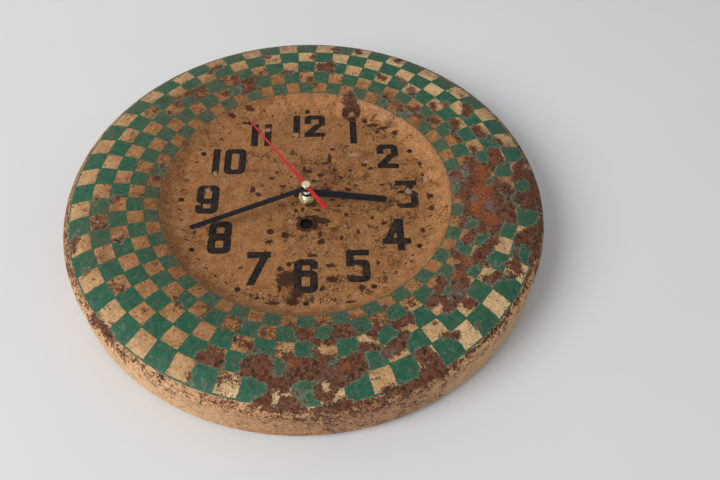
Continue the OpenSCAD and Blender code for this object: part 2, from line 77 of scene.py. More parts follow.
# Rust on the border, as strokes with round ends:
# (degrees clockwise from 12, radius in mm) to (degrees, radius), then half the stroke's width in mm
RUST_STROKES = [
    (2, 149, 2, 146, 2.4), (5, 134, 9, 136, 5), (8, 141, 9, 130, 3), (9, 162, 12, 158, 3.4),
    (15, 166, 16, 160, 2), (26, 136, 28, 135, 2.6), (28, 170, 28, 163, 2.6), (33, 139, 35, 138, 3),
    (39, 135, 41, 131, 2.6), (49, 134, 52, 129, 1.8), (32, 116, 35.6, 114, 2.2), (38, 117, 48, 117, 1.8),
    (42, 113, 46.4, 112, 2.8), (47, 122, 49, 120, 2.4), (50, 118, 57, 123, 2), (19.6, 105, 21, 104, 2.2),
    (3, 115, 1, 120, 2.4), (51, 145, 53, 142, 2.2), (56, 157, 61, 146, 4), (59.5, 134, 63, 130, 2.6),
    (63, 126.5, 69, 127.5, 1.8), (66, 145, 69.5, 145, 3.6), (57, 124, 54, 122, 2.2),
    (72, 153, 74, 156, 2.6), (72.5, 154, 72.8, 148, 2.4), (74, 133, 80, 129, 2.4), (76, 146, 83, 143, 4),
    (76.5, 150, 83, 150, 1.8), (79, 126, 83, 121, 3.4), (82, 131, 95, 132, 6), (83, 125, 96, 122, 5.4),
    (90, 137, 104, 136, 6), (95, 129, 104, 129, 5), (80, 167, 86, 158, 2.6), (84, 169, 88, 155, 3),
    (85, 169, 95, 167, 3.2), (91, 163, 97, 166, 2.2), (92, 147, 103, 150, 4.6), (94, 157, 96, 152, 3),
    (95, 143, 107, 141, 4.4), (96, 160, 99, 158, 1.8), (84, 112, 90, 109, 2.4), (89, 114, 95, 118, 3.6),
    (97, 119, 98, 127, 2.2), (98, 128, 103.5, 124, 2.6), (104, 127, 106, 118, 2.2),
    (98, 116.5, 109, 117, 1.8), (104, 134, 109, 130, 4), (105, 141, 109, 139, 3),
    (103, 168, 109, 158, 3.8), (100, 172, 114, 169, 2.6), (108, 157, 117, 160, 3.2),
    (106, 171, 110, 163, 3), (116, 159, 119.5, 146, 2), (119, 146, 121, 138, 2.8),
    (111.5, 138, 115, 138, 4.6), (115, 136, 122, 134, 3.8), (109.5, 125.5, 115, 124.5, 2.6),
    (114, 122, 116, 124, 2.4), (120.5, 119, 121.5, 126, 3.8), (121, 133, 129, 129, 4),
    (126, 128, 129, 131, 3.2), (128, 131, 135, 138, 4.2), (130, 136, 137, 139, 4),
    (120.4, 160, 122, 158, 2.2), (121.5, 153, 124.6, 150, 3), (124.6, 149, 124.8, 147, 2.8),
    (131, 122, 134, 126, 3), (133, 126, 142, 131, 2.8), (136, 134, 142, 131, 2.4),
    (135.4, 161, 136.6, 162, 2.4), (132.5, 150, 134, 148, 2.4), (137.6, 139, 140, 143, 3.8),
    (142.5, 158, 145, 154.5, 2.6), (144.8, 163, 147.2, 162, 1.9), (149.5, 167, 154.5, 166, 2.2),
    (150.2, 161, 154, 159, 1.8), (151.5, 155.5, 152.6, 156, 4.6), (150, 171, 160, 171, 3),
    (149, 132, 154, 131, 2.8), (153.5, 141.5, 157, 142.5, 3.8), (155.5, 146, 161, 147.5, 3.6),
    (159, 129.5, 161, 130, 1.9), (160.6, 142, 165, 138, 2.2), (157, 169, 163, 170, 2.4),
    (165.4, 144, 168, 143, 3), (167, 150, 173, 149, 6), (168, 157, 173.6, 158, 3),
    (171, 170, 175, 171, 3), (173, 144, 175, 142, 2.8), (166, 127, 172, 124, 2.4),
    (168, 121, 171, 120, 1.9), (172, 130, 174.5, 129, 1.9), (175, 148, 183, 149, 6.2),
    (174.6, 165, 177.4, 164, 2.6), (177.6, 160, 181, 161.5, 2.6), (180, 165, 181.6, 163, 2.6),
    (182, 169, 184, 168, 3.8), (183.5, 156, 190, 156, 1.9), (185, 159, 187, 158, 3),
    (187.6, 166, 189.6, 168, 3.4), (177.6, 138, 178.4, 135, 2.4), (175.4, 128, 177, 129, 1.8),
    (179, 142.6, 184, 141, 2.6), (189.4, 149, 193.4, 148.5, 6.6), (190.8, 139, 192.4, 138, 2.8),
    (200.6, 151, 205.2, 150.6, 4), (201, 145, 204, 144, 1.8), (201.4, 164, 202.4, 162.6, 1.8),
    (204, 167, 205, 164, 1.9), (194, 134, 199.4, 133, 1.8), (179, 124, 183, 119, 1.8),
    (219, 128, 222, 126, 2), (224.8, 161, 225.6, 161.4, 1.9), (226, 170.5, 233, 171, 1.8),
    (244.6, 163, 245.6, 162, 2.4), (248, 133, 250, 136, 2), (252, 168, 255, 167, 1.8),
    (253.4, 167, 255.4, 164, 2.2), (257.2, 163, 258, 162, 2.2), (264.8, 150, 266.4, 151, 2.4),
    (266, 139, 267.4, 136, 2.6), (277, 112, 283, 111, 1.8), (305, 135, 306, 134, 1.9),
    (311.6, 137, 314, 139, 2), (316, 140, 322, 142, 1.8), (328.6, 152, 331.6, 154, 3.4),
    (334, 136, 337, 137, 1.8), (336, 130, 339, 129, 1.8), (328, 122, 333, 126, 2.2),
    (333, 128, 338.4, 127, 2.2), (332.6, 124, 333.4, 120, 2.2), (338.4, 124, 337.4, 118.6, 2.2),
    (334, 117.6, 340, 116.6, 2.2), (345.8, 153, 347, 151, 2.2), (351, 129, 354, 128.4, 1.9),
]
# Where the rust is fresh orange, and where grey scale is left: (degrees, radius, half width, half height)
ORANGE_PATCHES = [
    (85, 131, 11, 6), (94, 129, 14, 8), (100, 125, 9, 7), (104, 136, 7, 6), (122, 131, 5, 5),
    (136, 161, 3, 3), (128, 129, 6, 4), (80, 144, 5, 3), (170, 148, 5, 3), (183, 143, 8, 3),
]
GREY_PATCHES = [
    (98.5, 134, 6, 5), (88, 111, 8, 4), (133, 138, 6, 6), (81, 122, 4, 4), (159, 147, 7, 4),
    (174, 148, 5, 5), (125, 149, 5, 4), (245, 162, 4, 4), (266, 138, 4, 6), (258, 162, 3, 3),
    (40, 133, 5, 5), (34, 138, 5, 4), (28, 120, 4, 3), (118, 128, 9, 3), (330, 152, 6, 5),
]
# Where small rust specks crowd the paint, and where the base coat is cleanest
SPECK_PATCHES = [
    (158, 122, 34, 13), (182, 120, 30, 11), (205, 122, 20, 8), (186, 133, 10, 7), (170, 124, 16, 8),
    (197, 162, 9, 8), (118, 163, 6, 6), (134, 148, 5, 6), (151, 164, 6, 6), (236, 148, 9, 7),
    (258, 147, 9, 7), (191, 121, 10, 6), (92, 163, 20, 8), (147, 122, 9, 6), (340, 133, 14, 6),
    (322, 134, 20, 8), (90, 118, 30, 10), (184, 146, 34, 14), (307, 148, 16, 6), (173, 179.7, 66, 4),
]
PALE_PATCHES = [
    (130, 155, 70, 26), (185, 164, 40, 8), (50, 150, 50, 10), (25, 146, 95, 24), (152, 128, 80, 13),
    (226, 176, 84, 5), (300, 176, 40, 5), (20, 176, 60, 5),
]
GRIME_PATCHES = [
    (322, 130, 60, 22), (275, 113, 40, 6), (255, 148, 30, 14), (40, 115, 34, 9), (345, 163, 60, 9),
    (300, 163, 40, 7), (95, 135, 34, 22), (45, 166, 50, 6), (130, 133, 24, 12), (180, 148, 34, 10),
    (275, 112, 24, 6), (10, 163, 30, 8),
]
# How thick the rust lies on the rim: degrees, and the share of it there
RIM_RUST = [(0, 60, 85, 110, 118, 150, 165, 190, 205, 225, 245, 255, 270, 360),
            (0.45, 0.8, 1.0, 1.0, 0.6, 0.75, 0.9, 0.75, 0.7, 0.75, 0.8, 0.85, 0.7, 0.6)]
# The rust band just outside the squares: degrees, how thick it lies, and its half width in mm
CREST_RUST = [(0, 110, 118, 146, 152, 188, 194, 222, 228, 234, 240, 360),
              (0.35, 0.45, 0.64, 0.62, 0.66, 0.6, 0.34, 0.3, 0.55, 0.3, 0.45, 0.35),
              (1.6, 1.6, 1.8, 1.9, 2.6, 2.4, 1.6, 1.6, 1.8, 1.6, 1.6, 1.6)]

# Wear on the dial: (x, y, half width, half height), in mm from the centre
DIAL_CHIPS = [
    (35, 98, 6, 8), (31, 90, 3, 6), (40, 90, 3, 6), (36, 83, 4, 3), (46, 81, 2, 2), (17.5, 40, 1.4, 5.5),
    (14, 35, 3, 1.4), (1, 27, 4, 2), (-2, 30, 1.6, 2), (10, 23, 2, 2), (21, 28, 1.8, 2),
    (33, 27, 1.4, 1.4), (44, 33, 2.2, 2.2), (49, 29, 1.6, 1.4), (31, 8, 2.6, 2.2), (36.5, 12, 1.4, 1.4),
    (41, 2, 2, 1.4), (57, 12, 2, 1), (11, -22, 6, 3.2), (5, -18.6, 4, 2), (-5.6, -27, 1.8, 3),
    (4.6, -29, 3, 1.8), (-5, -20, 2, 3), (6.4, -26, 2, 3), (-15, -34.5, 3, 2.8), (-26, -31, 2.2, 2.6),
    (-27, -40.5, 2.8, 1.6), (10, -34, 1.8, 2.4), (10.5, -41, 2.6, 2.4), (4, -53, 3.6, 1.5),
    (-12, -60, 1.8, 1.8), (17, -62, 3, 1.8), (18, -73, 4, 2.4), (-13.5, -72, 6.6, 6.6),
    (-18, -64, 2.4, 2.6), (-18, -80, 1, 4), (-6, -84, 4.4, 4), (-9, -91, 4, 3.6), (11, -81, 2.2, 2),
    (38, -81, 1.8, 2.6), (-40.5, 9, 1.8, 3.4), (-36, 4, 2, 1.8), (-33, 13, 1.4, 1), (-45, -62, 1.6, 1),
    (29, -17, 1.6, 2), (0, 7, 5, 3.6), (3, -6.5, 4.6, 2.6), (-7, 3, 2.4, 2.4), (8, 5, 2.4, 2),
    (-18, 12, 3, 1.2), (-27, 20, 1.8, 1.4), (-23, 26, 1.4, 1.4), (37, -33, 1.2, 3), (25, -38, 1.4, 2),
    (56, -25, 1.8, 1.8), (91, 0, 1.4, 3), (92, -12, 1.8, 2), (84, -32, 1.6, 2.4), (24, -8, 2, 1.2),
    (-80, -31, 1.5, 2.6), (52, 76, 5, 1.6), (61, 72, 5, 1.6), (56, 68, 2, 2), (70, 66, 2, 2.4),
    (-22, -92, 5, 1.4), (-33, -88, 2, 1.2), (30, -93, 4, 1.2), (87, 33, 1.4, 3), (88, 22, 1.4, 2),
    (12, 62, 1, 1.6), (20, 50, 2, 1.2), (5, 17, 2, 1), (15, 8, 1.6, 1.2), (19, -2, 2, 1),
    (14, 14, 1.4, 1), (26, 20, 1.4, 1.6), (-50, 80, 2.4, 1.4), (-38, 70, 1.2, 2), (-47, 92, 4, 1.8),
    (-60, 84, 3, 1.6), (48, -20, 1.4, 1.6), (-8, -12, 1.8, 2), (-3, -11, 1.4, 2), (8, -12, 2.6, 1.4),
    (-12, 22, 1, 1.4), (6, 35, 1.4, 1), (74, -60, 1.4, 1), (50, -60, 1.2, 2),
]
DIAL_CLOUDS = [
    (-50, 88, 16, 8), (60, 71, 14, 6), (36, 92, 8, 12), (-96, 20, 6, 44), (-84, -52, 7, 22),
    (-78, 58, 8, 16), (10, 15, 26, 20), (2, -24, 15, 10), (60, -62, 12, 8), (83, 10, 9, 26),
    (40, 40, 20, 14), (-20, -80, 16, 8), (-60, -75, 14, 8), (25, -30, 16, 12), (-33, 25, 14, 10),
    (-1, 27, 9, 5),
]
# Where the specks on the dial are densest
DIAL_SPECKS = [
    (20, 22, 30, 26), (30, -5, 34, 20), (70, 0, 20, 30), (0, 0, 22, 18), (55, 72, 16, 10),
    (-10, -88, 34, 8), (5, -35, 26, 16), (60, -35, 22, 22), (-35, 45, 18, 10), (30, -75, 30, 12),
    (-70, -30, 12, 16),
]
DIAL_RUBS = [
    (20, 51, 4, 2), (36, 44, 7, 2.2), (46, 36, 3, 2.4), (-9, 66, 3, 3), (-4, 61, 3, 1.4),
    (-32, 72, 3.4, 2.6), (76, 5, 3, 4), (-74, 8, 2.4, 4), (-70, 26, 2, 3), (-12, -22, 2.4, 2.6),
    (-23, -71, 3, 2), (-17, -92, 6, 1.4), (-63, 18, 2.4, 5), (90, 18, 1.6, 6),
]


def srgb(red, green, blue):
    """A display colour of 0..255 as linear light."""
    return tuple(
        c / 255 / 12.92 if c < 10.3 else ((c / 255 + 0.055) / 1.055) ** 2.4
        for c in (red, green, blue)
    )


TAN = srgb(160, 114, 73)
WELL_TAN = srgb(178, 130, 88)
TAN_PALE = srgb(172, 130, 90)
CREAM = srgb(212, 182, 140)
RIM_CREAM = srgb(214, 172, 128)
RIM_TAN = srgb(182, 136, 98)
GREEN_INNER = srgb(56, 80, 60)
GREEN_OUTER = srgb(36, 88, 66)
GREEN_WORN = srgb(96, 100, 80)
GREEN_DEEP = srgb(26, 56, 42)
GREEN_GRIME = srgb(92, 74, 54)
MOTTLE_DARK = (0.72, 0.66, 0.58)
MOTTLE_LIGHT = (1.16, 1.14, 1.10)
STAIN = (0.52, 0.42, 0.33)
RUST_BLACK = srgb(48, 31, 24)
RUST_BROWN = srgb(112, 75, 55)
RUST_TAN = srgb(150, 108, 78)
SPECK_DARK = srgb(52, 35, 22)
SPECK_BROWN = srgb(90, 60, 36)
RUST_RED = srgb(102, 52, 34)
RUST_ORANGE = srgb(158, 90, 42)
RUST_GREY = srgb(106, 94, 92)
BLEED = srgb(112, 72, 44)
RUB_WHITE = srgb(176, 158, 140)
EDGE_PALE = srgb(158, 160, 138)
INK = srgb(21, 20, 20)
INK_WORN = srgb(52, 44, 38)


# ---------------------------------------------------------------- node materials
class Value:
    """A node's output. Adding, subtracting or multiplying it adds a math node."""

    def __init__(self, shade, socket):
        self.shade, self.socket = shade, socket

    def __add__(self, other):
        return self.shade.math("ADD", self, other)

    def __radd__(self, other):
        return self.shade.math("ADD", other, self)

    def __sub__(self, other):
        return self.shade.math("SUBTRACT", self, other)

    def __rsub__(self, other):
        return self.shade.math("SUBTRACT", other, self)

    def __mul__(self, other):
        return self.shade.math("MULTIPLY", self, other)


class Shade:
    """One material's node tree. Most methods add a node and return its output as a Value."""

    def __init__(self, name):
        self.material = bpy.data.materials.new(name)
        self.material.use_nodes = True
        self.tree = self.material.node_tree
        self.surface = self.tree.nodes["Principled BSDF"]
        self.place = self.node("TexCoord", {}, "Object")

    def plug(self, socket, value):
        """Links a Value to the socket, or sets a number or a colour on it."""
        if isinstance(value, Value):
            self.tree.links.new(value.socket, socket)
        elif socket.type == "RGBA":
            socket.default_value = (*value[:3], 1.0)
        else:
            socket.default_value = value

    def node(self, kind, inputs, output=0, **settings):
        """A new node with its settings and inputs filled in."""
        made = self.tree.nodes.new("ShaderNode" + kind)
        for name, setting in settings.items():
            setattr(made, name, setting)
        for key, value in inputs.items():
            self.plug(made.inputs[key], value)
        return Value(self, made.outputs[output])

    def math(self, operation, a, b=0.0):
        return self.node("Math", {0: a, 1: b}, operation=operation)

    def high(self, a, b):
        return self.math("MAXIMUM", a, b)

    def low(self, a, b):
        return self.math("MINIMUM", a, b)

    def fit(self, value, a, b, to_a=0.0, to_b=1.0):
        """value, carried from the range a..b to to_a..to_b and kept inside it."""
        return self.node("MapRange", dict(enumerate((value, a, b, to_a, to_b))))

    def mix(self, part, a, b, blend="MIX"):
        return self.node("Mix", {0: part, 6: a, 7: b}, 2, data_type="RGBA", blend_type=blend)

    def noise(self, size, detail, rough, shift=0.0, where=None, warp=0.0):
        """Smooth noise about 0.5, with features about size mm across. shift picks the pattern."""
        inputs = {
            "Vector": where or self.place, "W": shift, "Scale": 1.0 / (size * MM),
            "Detail": detail, "Roughness": rough, "Distortion": warp,
        }
        return self.node("TexNoise", inputs, "Fac", noise_dimensions="4D")

    def ripple(self, gain, size, detail, rough, shift):
        """Noise about 0, times gain."""
        return (self.noise(size, detail, rough, shift) - 0.5) * gain

    def spots(self, size, detail, rough, shift, a, b, to_a=0.0, to_b=1.0):
        """Noise carried from the range a..b to to_a..to_b, so that it comes as spots."""
        return self.fit(self.noise(size, detail, rough, shift), a, b, to_a, to_b)

    def painted(self, name):
        """A value that was painted on the mesh."""
        return self.node("Attribute", {}, "Fac", attribute_name=name)

    def split(self):
        """The place as x, y and z."""
        axes = self.node("SeparateXYZ", {0: self.place}).socket.node.outputs
        return [Value(self, axis) for axis in axes]

    def stretched(self, x, y, z):
        """The place, scaled along each axis."""
        return self.node("Mapping", {"Vector": self.place, "Scale": (x, y, z)})

    def bump(self, height, depth):
        """Sets the surface's relief from a height of 0..1 over depth metres."""
        relief = self.node("Bump", {"Strength": 1.0, "Distance": depth, "Height": height})
        self.plug(self.surface.inputs["Normal"], relief)

    def finish(self, colour, rough, metal=0.0, **more):
        inputs = {"Base_Color": colour, "Roughness": rough, "Metallic": metal, **more}
        for name, value in inputs.items():
            self.plug(self.surface.inputs[name.replace("_", " ")], value)
        return self.material


def rust_colour(s, level=1.0, orange=0.0, grey=0.0, dark=0.0):
    """Rust from near black through brown and red to orange, with grey scale and a dark border."""
    body = s.mix(s.spots(2.6, 5, 0.75, 3.1, 0.42, 0.56), RUST_BLACK, RUST_BROWN)
    body = s.mix(s.spots(6, 4, 0.6, 5.3, 0.46, 0.62, 0, 0.6), body, RUST_RED)
    fresh = orange * 0.8 + s.ripple(2.2, 3.2, 4, 0.7, 6.3)
    warm = s.mix(s.spots(1.6, 4, 0.7, 7.4, 0.4, 0.62), RUST_RED, RUST_ORANGE)
    body = s.mix(s.fit(fresh, 0.35, 0.85), body, warm)
    scale = grey * 0.5 + s.ripple(2.6, 2.6, 5, 0.7, 8.8)
    body = s.mix(s.fit(scale, 0.30, 0.6, 0, 0.75), body, RUST_GREY)
    body = s.mix(s.spots(1.4, 3, 0.7, 10.7, 0.56, 0.66, 0, 0.4), body, RUST_TAN)
    body = s.mix(dark * 0.75, body, RUST_BLACK)
    body = s.mix(s.spots(1.0, 2, 0.5, 9.9, 0.56, 0.64, 0, 0.5), body, RUST_BLACK)
    return s.mix(s.fit(level, 0.64, 0.53) * 0.55, body, RUST_BLACK)


def stain(s, part, colour):
    """colour, with part of it darkened to a stain."""
    return s.mix(part, colour, s.mix(1.0, colour, STAIN, "MULTIPLY"))


def aged_cream(s, radius):
    """The base coat: tan on the dial and paler outwards, mottled, stained and grained."""
    out = s.fit(radius, 112, 166)
    pale = out * 0.6 + s.painted("pale") * 0.42 + s.ripple(0.7, 16, 3, 0.5, 6.1)
    pale = s.fit(pale, 0.0, 1.0) * s.fit(radius, 106, 128)
    clean = s.mix(s.fit(pale, 0.0, 0.4), TAN, TAN_PALE)
    clean = s.mix(s.fit(pale, 0.3, 1.0), clean, CREAM)
    well = s.fit(radius, 88, 94) * s.fit(radius, 107, 105)
    clean = s.mix(well * s.spots(7, 4, 0.6, 7.7, 0.35, 0.6), clean, WELL_TAN)
    rim = on_rim(s, radius)
    streak = s.noise(5, 5, 0.7, 31.0, s.stretched(1.0, 1.0, 3.0))
    faded = s.painted("pale") + (streak - 0.5) * 2.4
    clean = s.mix(rim, clean, s.mix(s.fit(faded, 0.05, 0.75), RIM_TAN, RIM_CREAM))
    run = s.fit(s.noise(3, 5, 0.7, 33.0, s.stretched(1.0, 1.0, 2.4)), 0.52, 0.64)
    clean = stain(s, rim * run * 0.6, clean)
    mottle = s.mix(s.spots(1.8, 5, 0.8, 4.6, 0.39, 0.61), MOTTLE_DARK, MOTTLE_LIGHT)
    mottle = s.mix(rim * 0.6, mottle, (1.0, 1.0, 1.0))
    clean = s.mix(1.0, clean, mottle, "MULTIPLY")
    broad = s.spots(8, 5, 0.65, 9.4, 0.44, 0.64)
    dirty = s.fit(pale, 0.9, 0.1, 0.4, 1.0) + s.painted("cloud") * 0.8
    coat = stain(s, broad * dirty * 0.5, clean)
    grain = s.spots(1.15, 4, 0.8, 2.2, 0.49, 0.60)
    return stain(s, grain * dirty * 0.6, coat)


def with_specks(s, colour, guard):
    """colour under small rust specks: more of them where painted so, and fewer by guard."""
    size = s.noise(1.35, 3, 0.6, 15.5) + s.ripple(0.75, 8, 3, 0.6, 17.0)
    level = size - guard + s.painted("speck") * 0.085
    tone = s.mix(s.spots(1.1, 3, 0.6, 2.7, 0.4, 0.6), SPECK_DARK, SPECK_BROWN)
    return s.mix(s.fit(level, 0.625, 0.66) * 0.9, colour, tone)


def rust_level(s):
    """Painted rust with a ragged edge: above a half the coat is gone."""
    return s.painted("rust") + s.ripple(1.3, 6, 4, 0.65, 12.5) + s.ripple(2.3, 1.8, 4, 0.8, 14.2)


def plan_radius(s):
    """Distance from the hands' axis in mm."""
    x, y, _ = s.split()
    return s.math("SQRT", x * x + y * y) * (1.0 / MM)


def on_border(s, radius):
    """1 outside the well's lip, 0 on the dial."""
    return s.fit(radius, 106, 108)


def on_rim(s, radius):
    """1 on the bare cream rim, 0 inside it."""
    return s.fit(radius, 169, 172)


def check_squares(s, radius):
    """(1 on a green square, distance in from the square's edge as a share of half its width)."""
    x, y, z = s.split()
    radius = radius + s.ripple(1.3, 6, 3, 0.6, 1.3) + s.ripple(1.2, 1.3, 3, 0.6, 2.9)
    turn = s.math("ARCTAN2", x, y) * (180.0 / math.pi) + s.ripple(0.9, 5, 4, 0.65, 11.3)
    ring = 0.0
    for inner, outer in zip(RING_EDGES, RING_EDGES[1:]):
        ring = ring + s.fit(radius, inner, outer)
    sector = (turn - SECTOR_START) * (SECTORS / 360.0)
    parity = s.math("FLOOR", ring) + s.math("FLOOR", sector)
    green = 1.0 - s.math("FLOORED_MODULO", parity, 2.0)
    depth = s.low(s.math("PINGPONG", ring, 0.5), s.math("PINGPONG", sector, 0.5)) * 2.0
    green = s.high(green, s.fit(depth, 0.085, 0.06))
    face = s.fit(z, DIAL_Z + 2 * MM, DIAL_Z + 3 * MM)
    first, last = RING_EDGES[0] - 0.5, RING_EDGES[-1] + 0.6
    inside = s.fit(radius, first, first + 0.1) * s.fit(radius, last, last - 0.1)
    return green * inside * face, depth


def green_enamel(s, radius):
    """The squares' green: duller inwards, thinned, grimed and scratched."""
    tone = s.mix(s.fit(radius, 108, 136), GREEN_INNER, GREEN_OUTER)
    tone = s.mix(s.spots(5, 4, 0.6, 3.3, 0.45, 0.65, 0, 0.45), tone, GREEN_DEEP)
    thin = s.noise(2.6, 5, 0.75, 3.7) + s.fit(radius, 108, 130, 0.05, 0.0)
    tone = s.mix(s.fit(thin, 0.50, 0.68, 0, 0.85), tone, GREEN_WORN)
    haze = s.spots(4, 4, 0.65, 8.2, 0.4, 0.62) * s.painted("cloud")
    tone = s.mix(haze * 0.65, tone, GREEN_GRIME)
    scratch = s.noise(1.0, 3, 0.6, 5.0, s.stretched(1.0, 6.0, 1.0), 1.0)
    return s.mix(s.fit(scratch, 0.66, 0.74, 0, 0.5), tone, EDGE_PALE)


def rubbed(s, colour, amount):
    """colour with its painted rubs, scuffed towards white by amount."""
    rub = s.painted("rub") + s.ripple(2.2, 2.0, 5, 0.7, 6.6)
    return s.mix(s.fit(rub, 0.55, 1.1, 0, amount), colour, RUB_WHITE)


def make_case_paint():
    """Cream base coat, green check squares, and rust that eats both."""
    s = Shade("case_paint")
    radius = plan_radius(s)
    border, speck, cloud = on_border(s, radius), s.painted("speck"), s.painted("cloud")
    green, depth = check_squares(s, radius)
    bare_cream = (1.0 - green) * border
    coat = rubbed(s, aged_cream(s, radius), 0.4)
    colour = s.mix(green, coat, green_enamel(s, radius))
    level = rust_level(s) + bare_cream * (0.05 + speck * 0.27 + cloud * 0.12)
    level = level + s.fit(depth, 0.5, 0.0) * speck * border * 0.24
    level = level - green * s.fit(depth, 0.1, 0.7) * 0.42
    flecks = s.spots(2.6, 4, 0.7, 27.0, 0.6, 0.66) * s.fit(radius, 104, 108)
    rust = s.fit(level, 0.49, 0.54) * (1.0 - flecks * s.fit(level, 0.85, 0.7))
    bleed = s.fit(level, 0.22, 0.5) * (1.0 - green)
    colour = s.mix(bleed * 0.55, colour, BLEED)
    chip_edge = s.fit(level, 0.39, 0.43) * (1.0 - rust) * green
    colour = s.mix(chip_edge * 0.65, colour, EDGE_PALE)
    guard = bare_cream * -0.012 + on_rim(s, radius) * 0.04
    colour = with_specks(s, colour, green * 0.075 + guard)
    on_dial = s.fit(radius, 96, 106, 1.0, 0.0)
    eaten = rust_colour(s, level, s.painted("orange"), s.painted("grey"), on_dial)
    colour = s.mix(rust, colour, eaten)
    rough = s.high(s.spots(2, 3, 0.6, 18.0, 0.3, 0.7, 0.42, 0.62), rust * 0.85)
    grain = s.noise(0.9, 4, 0.75, 19.0) * (0.22 + rust * 0.6)
    s.bump(grain + (1.0 - rust) * 0.45, 0.4 * MM)
    return s.finish(colour, rough, Specular_IOR_Level=0.18)


def make_bare_steel():
    """The case's unpainted inside: dull sheet with light rust."""
    s = Shade("case_inside")
    blotch = s.noise(18, 5, 0.62, 1.0)
    fine = s.noise(1.5, 4, 0.7, 2.0)
    steel = s.mix(s.fit(fine, 0.3, 0.7), (0.16, 0.155, 0.15), (0.27, 0.265, 0.26))
    rust = s.fit(blotch + (fine - 0.5) * 0.5, 0.47, 0.6)
    colour = s.mix(rust, steel, rust_colour(s, 1.0, 0.1))
    s.bump(fine * 0.4 + rust * 0.4, 0.25 * MM)
    return s.finish(colour, 0.5 + rust * 0.35, (1.0 - rust) * 0.7)


def make_ink(name, wear=0.0):
    """Black numerals, worn through to the tan coat and rust under them."""
    s = Shade(name)
    radius = plan_radius(s)
    tone = s.mix(s.spots(2.5, 5, 0.7, 22.0, 0.42, 0.66), INK, INK_WORN)
    thin = s.noise(1.5, 5, 0.7, 21.0) + s.painted("rub") * 0.2 + wear
    colour = s.mix(s.fit(thin, 0.62, 0.72), tone, aged_cream(s, radius))
    colour = rubbed(s, colour, 0.45)
    colour = with_specks(s, colour, 0.03)
    colour = s.mix(s.fit(rust_level(s), 0.49, 0.55), colour, rust_colour(s, 1.0, 0.0, 0.0, 1.0))
    s.bump(s.noise(0.9, 4, 0.75, 19.0), 0.1 * MM)
    gloss = s.spots(2, 3, 0.5, 23.0, 0.3, 0.7, 0.45, 0.65)
    return s.finish(colour, gloss, Specular_IOR_Level=0.14)


def make_enamel(name, colour, second, rough):
    """Sprayed hand enamel with faint dust and a fine grain."""
    s = Shade(name)
    tone = s.mix(s.spots(5, 4, 0.6, 1.0, 0.35, 0.7), colour, second)
    dust = s.spots(0.5, 2, 0.5, 2.0, 0.66, 0.8, 0.0, 0.12)
    tone = s.mix(dust, tone, (0.4, 0.38, 0.35))
    s.bump(s.noise(0.4, 3, 0.5, 3.0), 0.02 * MM)
    gloss = s.spots(3, 3, 0.5, 4.0, 0.3, 0.7, rough - 0.06, rough + 0.1)
    return s.finish(tone, gloss, Specular_IOR_Level=0.2)


def make_metal(name, colour, second, rough, tarnish, metal=1.0):
    """Plated or plain metal with tarnish in blotches."""
    s = Shade(name)
    grain = s.noise(0.35, 4, 0.6, 1.0)
    blotch = s.spots(3.5, 5, 0.65, 2.0, 0.62 - tarnish * 0.3, 0.85 - tarnish * 0.3)
    tone = s.mix(s.fit(grain, 0.3, 0.7), colour, second)
    tone = s.mix(blotch * 0.6, tone, tuple(c * 0.35 for c in second))
    s.bump(grain, 0.02 * MM)
    gloss = s.fit(grain, 0.3, 0.7, rough - 0.05, rough + 0.08) + blotch * 0.2
    return s.finish(tone, gloss, metal)


def make_plastic(name, colour, second, rough, grain=0.35, shine=0.3):
    """Moulded plastic with a fine grain."""
    s = Shade(name)
    tone = s.mix(s.spots(10, 3, 0.5, 1.0, 0.35, 0.7), colour, second)
    dust = s.spots(1.3, 4, 0.7, 2.0, 0.62, 0.85, 0.0, 0.12)
    tone = s.mix(dust, tone, (0.3, 0.28, 0.25))
    s.bump(s.noise(grain, 3, 0.6, 3.0), 0.03 * MM)
    gloss = s.spots(2, 3, 0.5, 4.0, 0.3, 0.7, rough - 0.05, rough + 0.08)
    return s.finish(tone, gloss, Specular_IOR_Level=shine)


def make_battery():
    """A plain two-tone cell jacket with bright ends."""
    s = Shade("battery_jacket")
    low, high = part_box("battery")
    x = s.split()[0]
    part = s.math("DIVIDE", x - low.x, high.x - low.x)
    jacket = s.mix(s.fit(part, 0.70, 0.702), (0.02, 0.02, 0.022), (0.42, 0.17, 0.05))
    line = s.fit(part, 0.685, 0.687) * s.fit(part, 0.702, 0.7)
    jacket = s.mix(line, jacket, (0.7, 0.68, 0.62))
    end = s.high(s.fit(part, 0.975, 0.9751), s.fit(part, 0.004, 0.0039))
    colour = s.mix(end, jacket, (0.62, 0.62, 0.6))
    scuff = s.spots(1.5, 4, 0.7, 2.0, 0.6, 0.8, 0.0, 0.2)
    colour = s.mix(scuff, colour, (0.3, 0.29, 0.28))
    s.bump(s.noise(0.6, 3, 0.6, 3.0), 0.015 * MM)
    return s.finish(colour, 0.28 + scuff * 0.8, end * 0.9)


def make_copper():
    """Enamelled wire, wound side by side along the coil."""
    s = Shade("copper_wire")
    x = s.split()[0]
    wire_pitch = 0.18 * MM
    turns = s.math("SINE", x * (2.0 * math.pi / wire_pitch))
    tone = s.mix(s.spots(1.5, 3, 0.6, 1.0, 0.3, 0.7), (0.42, 0.13, 0.045), (0.62, 0.24, 0.09))
    s.bump(s.fit(turns, -1, 1), 0.06 * MM)
    return s.finish(tone, 0.32, 0.85)


def make_board():
    """Solder mask with faint copper tracks under it."""
    s = Shade("board_green")
    x = s.split()[0]
    lane_pitch, bend = 1.6 * MM, 4 * MM
    lanes = s.math("SINE", (x + s.noise(5, 1, 0.5, 1.0) * bend) * (2.0 * math.pi / lane_pitch))
    tone = s.mix(s.fit(lanes, 0.2, 0.5), (0.012, 0.11, 0.045), (0.03, 0.2, 0.085))
    s.bump(s.fit(lanes, 0.2, 0.5), 0.03 * MM)
    return s.finish(tone, 0.35)


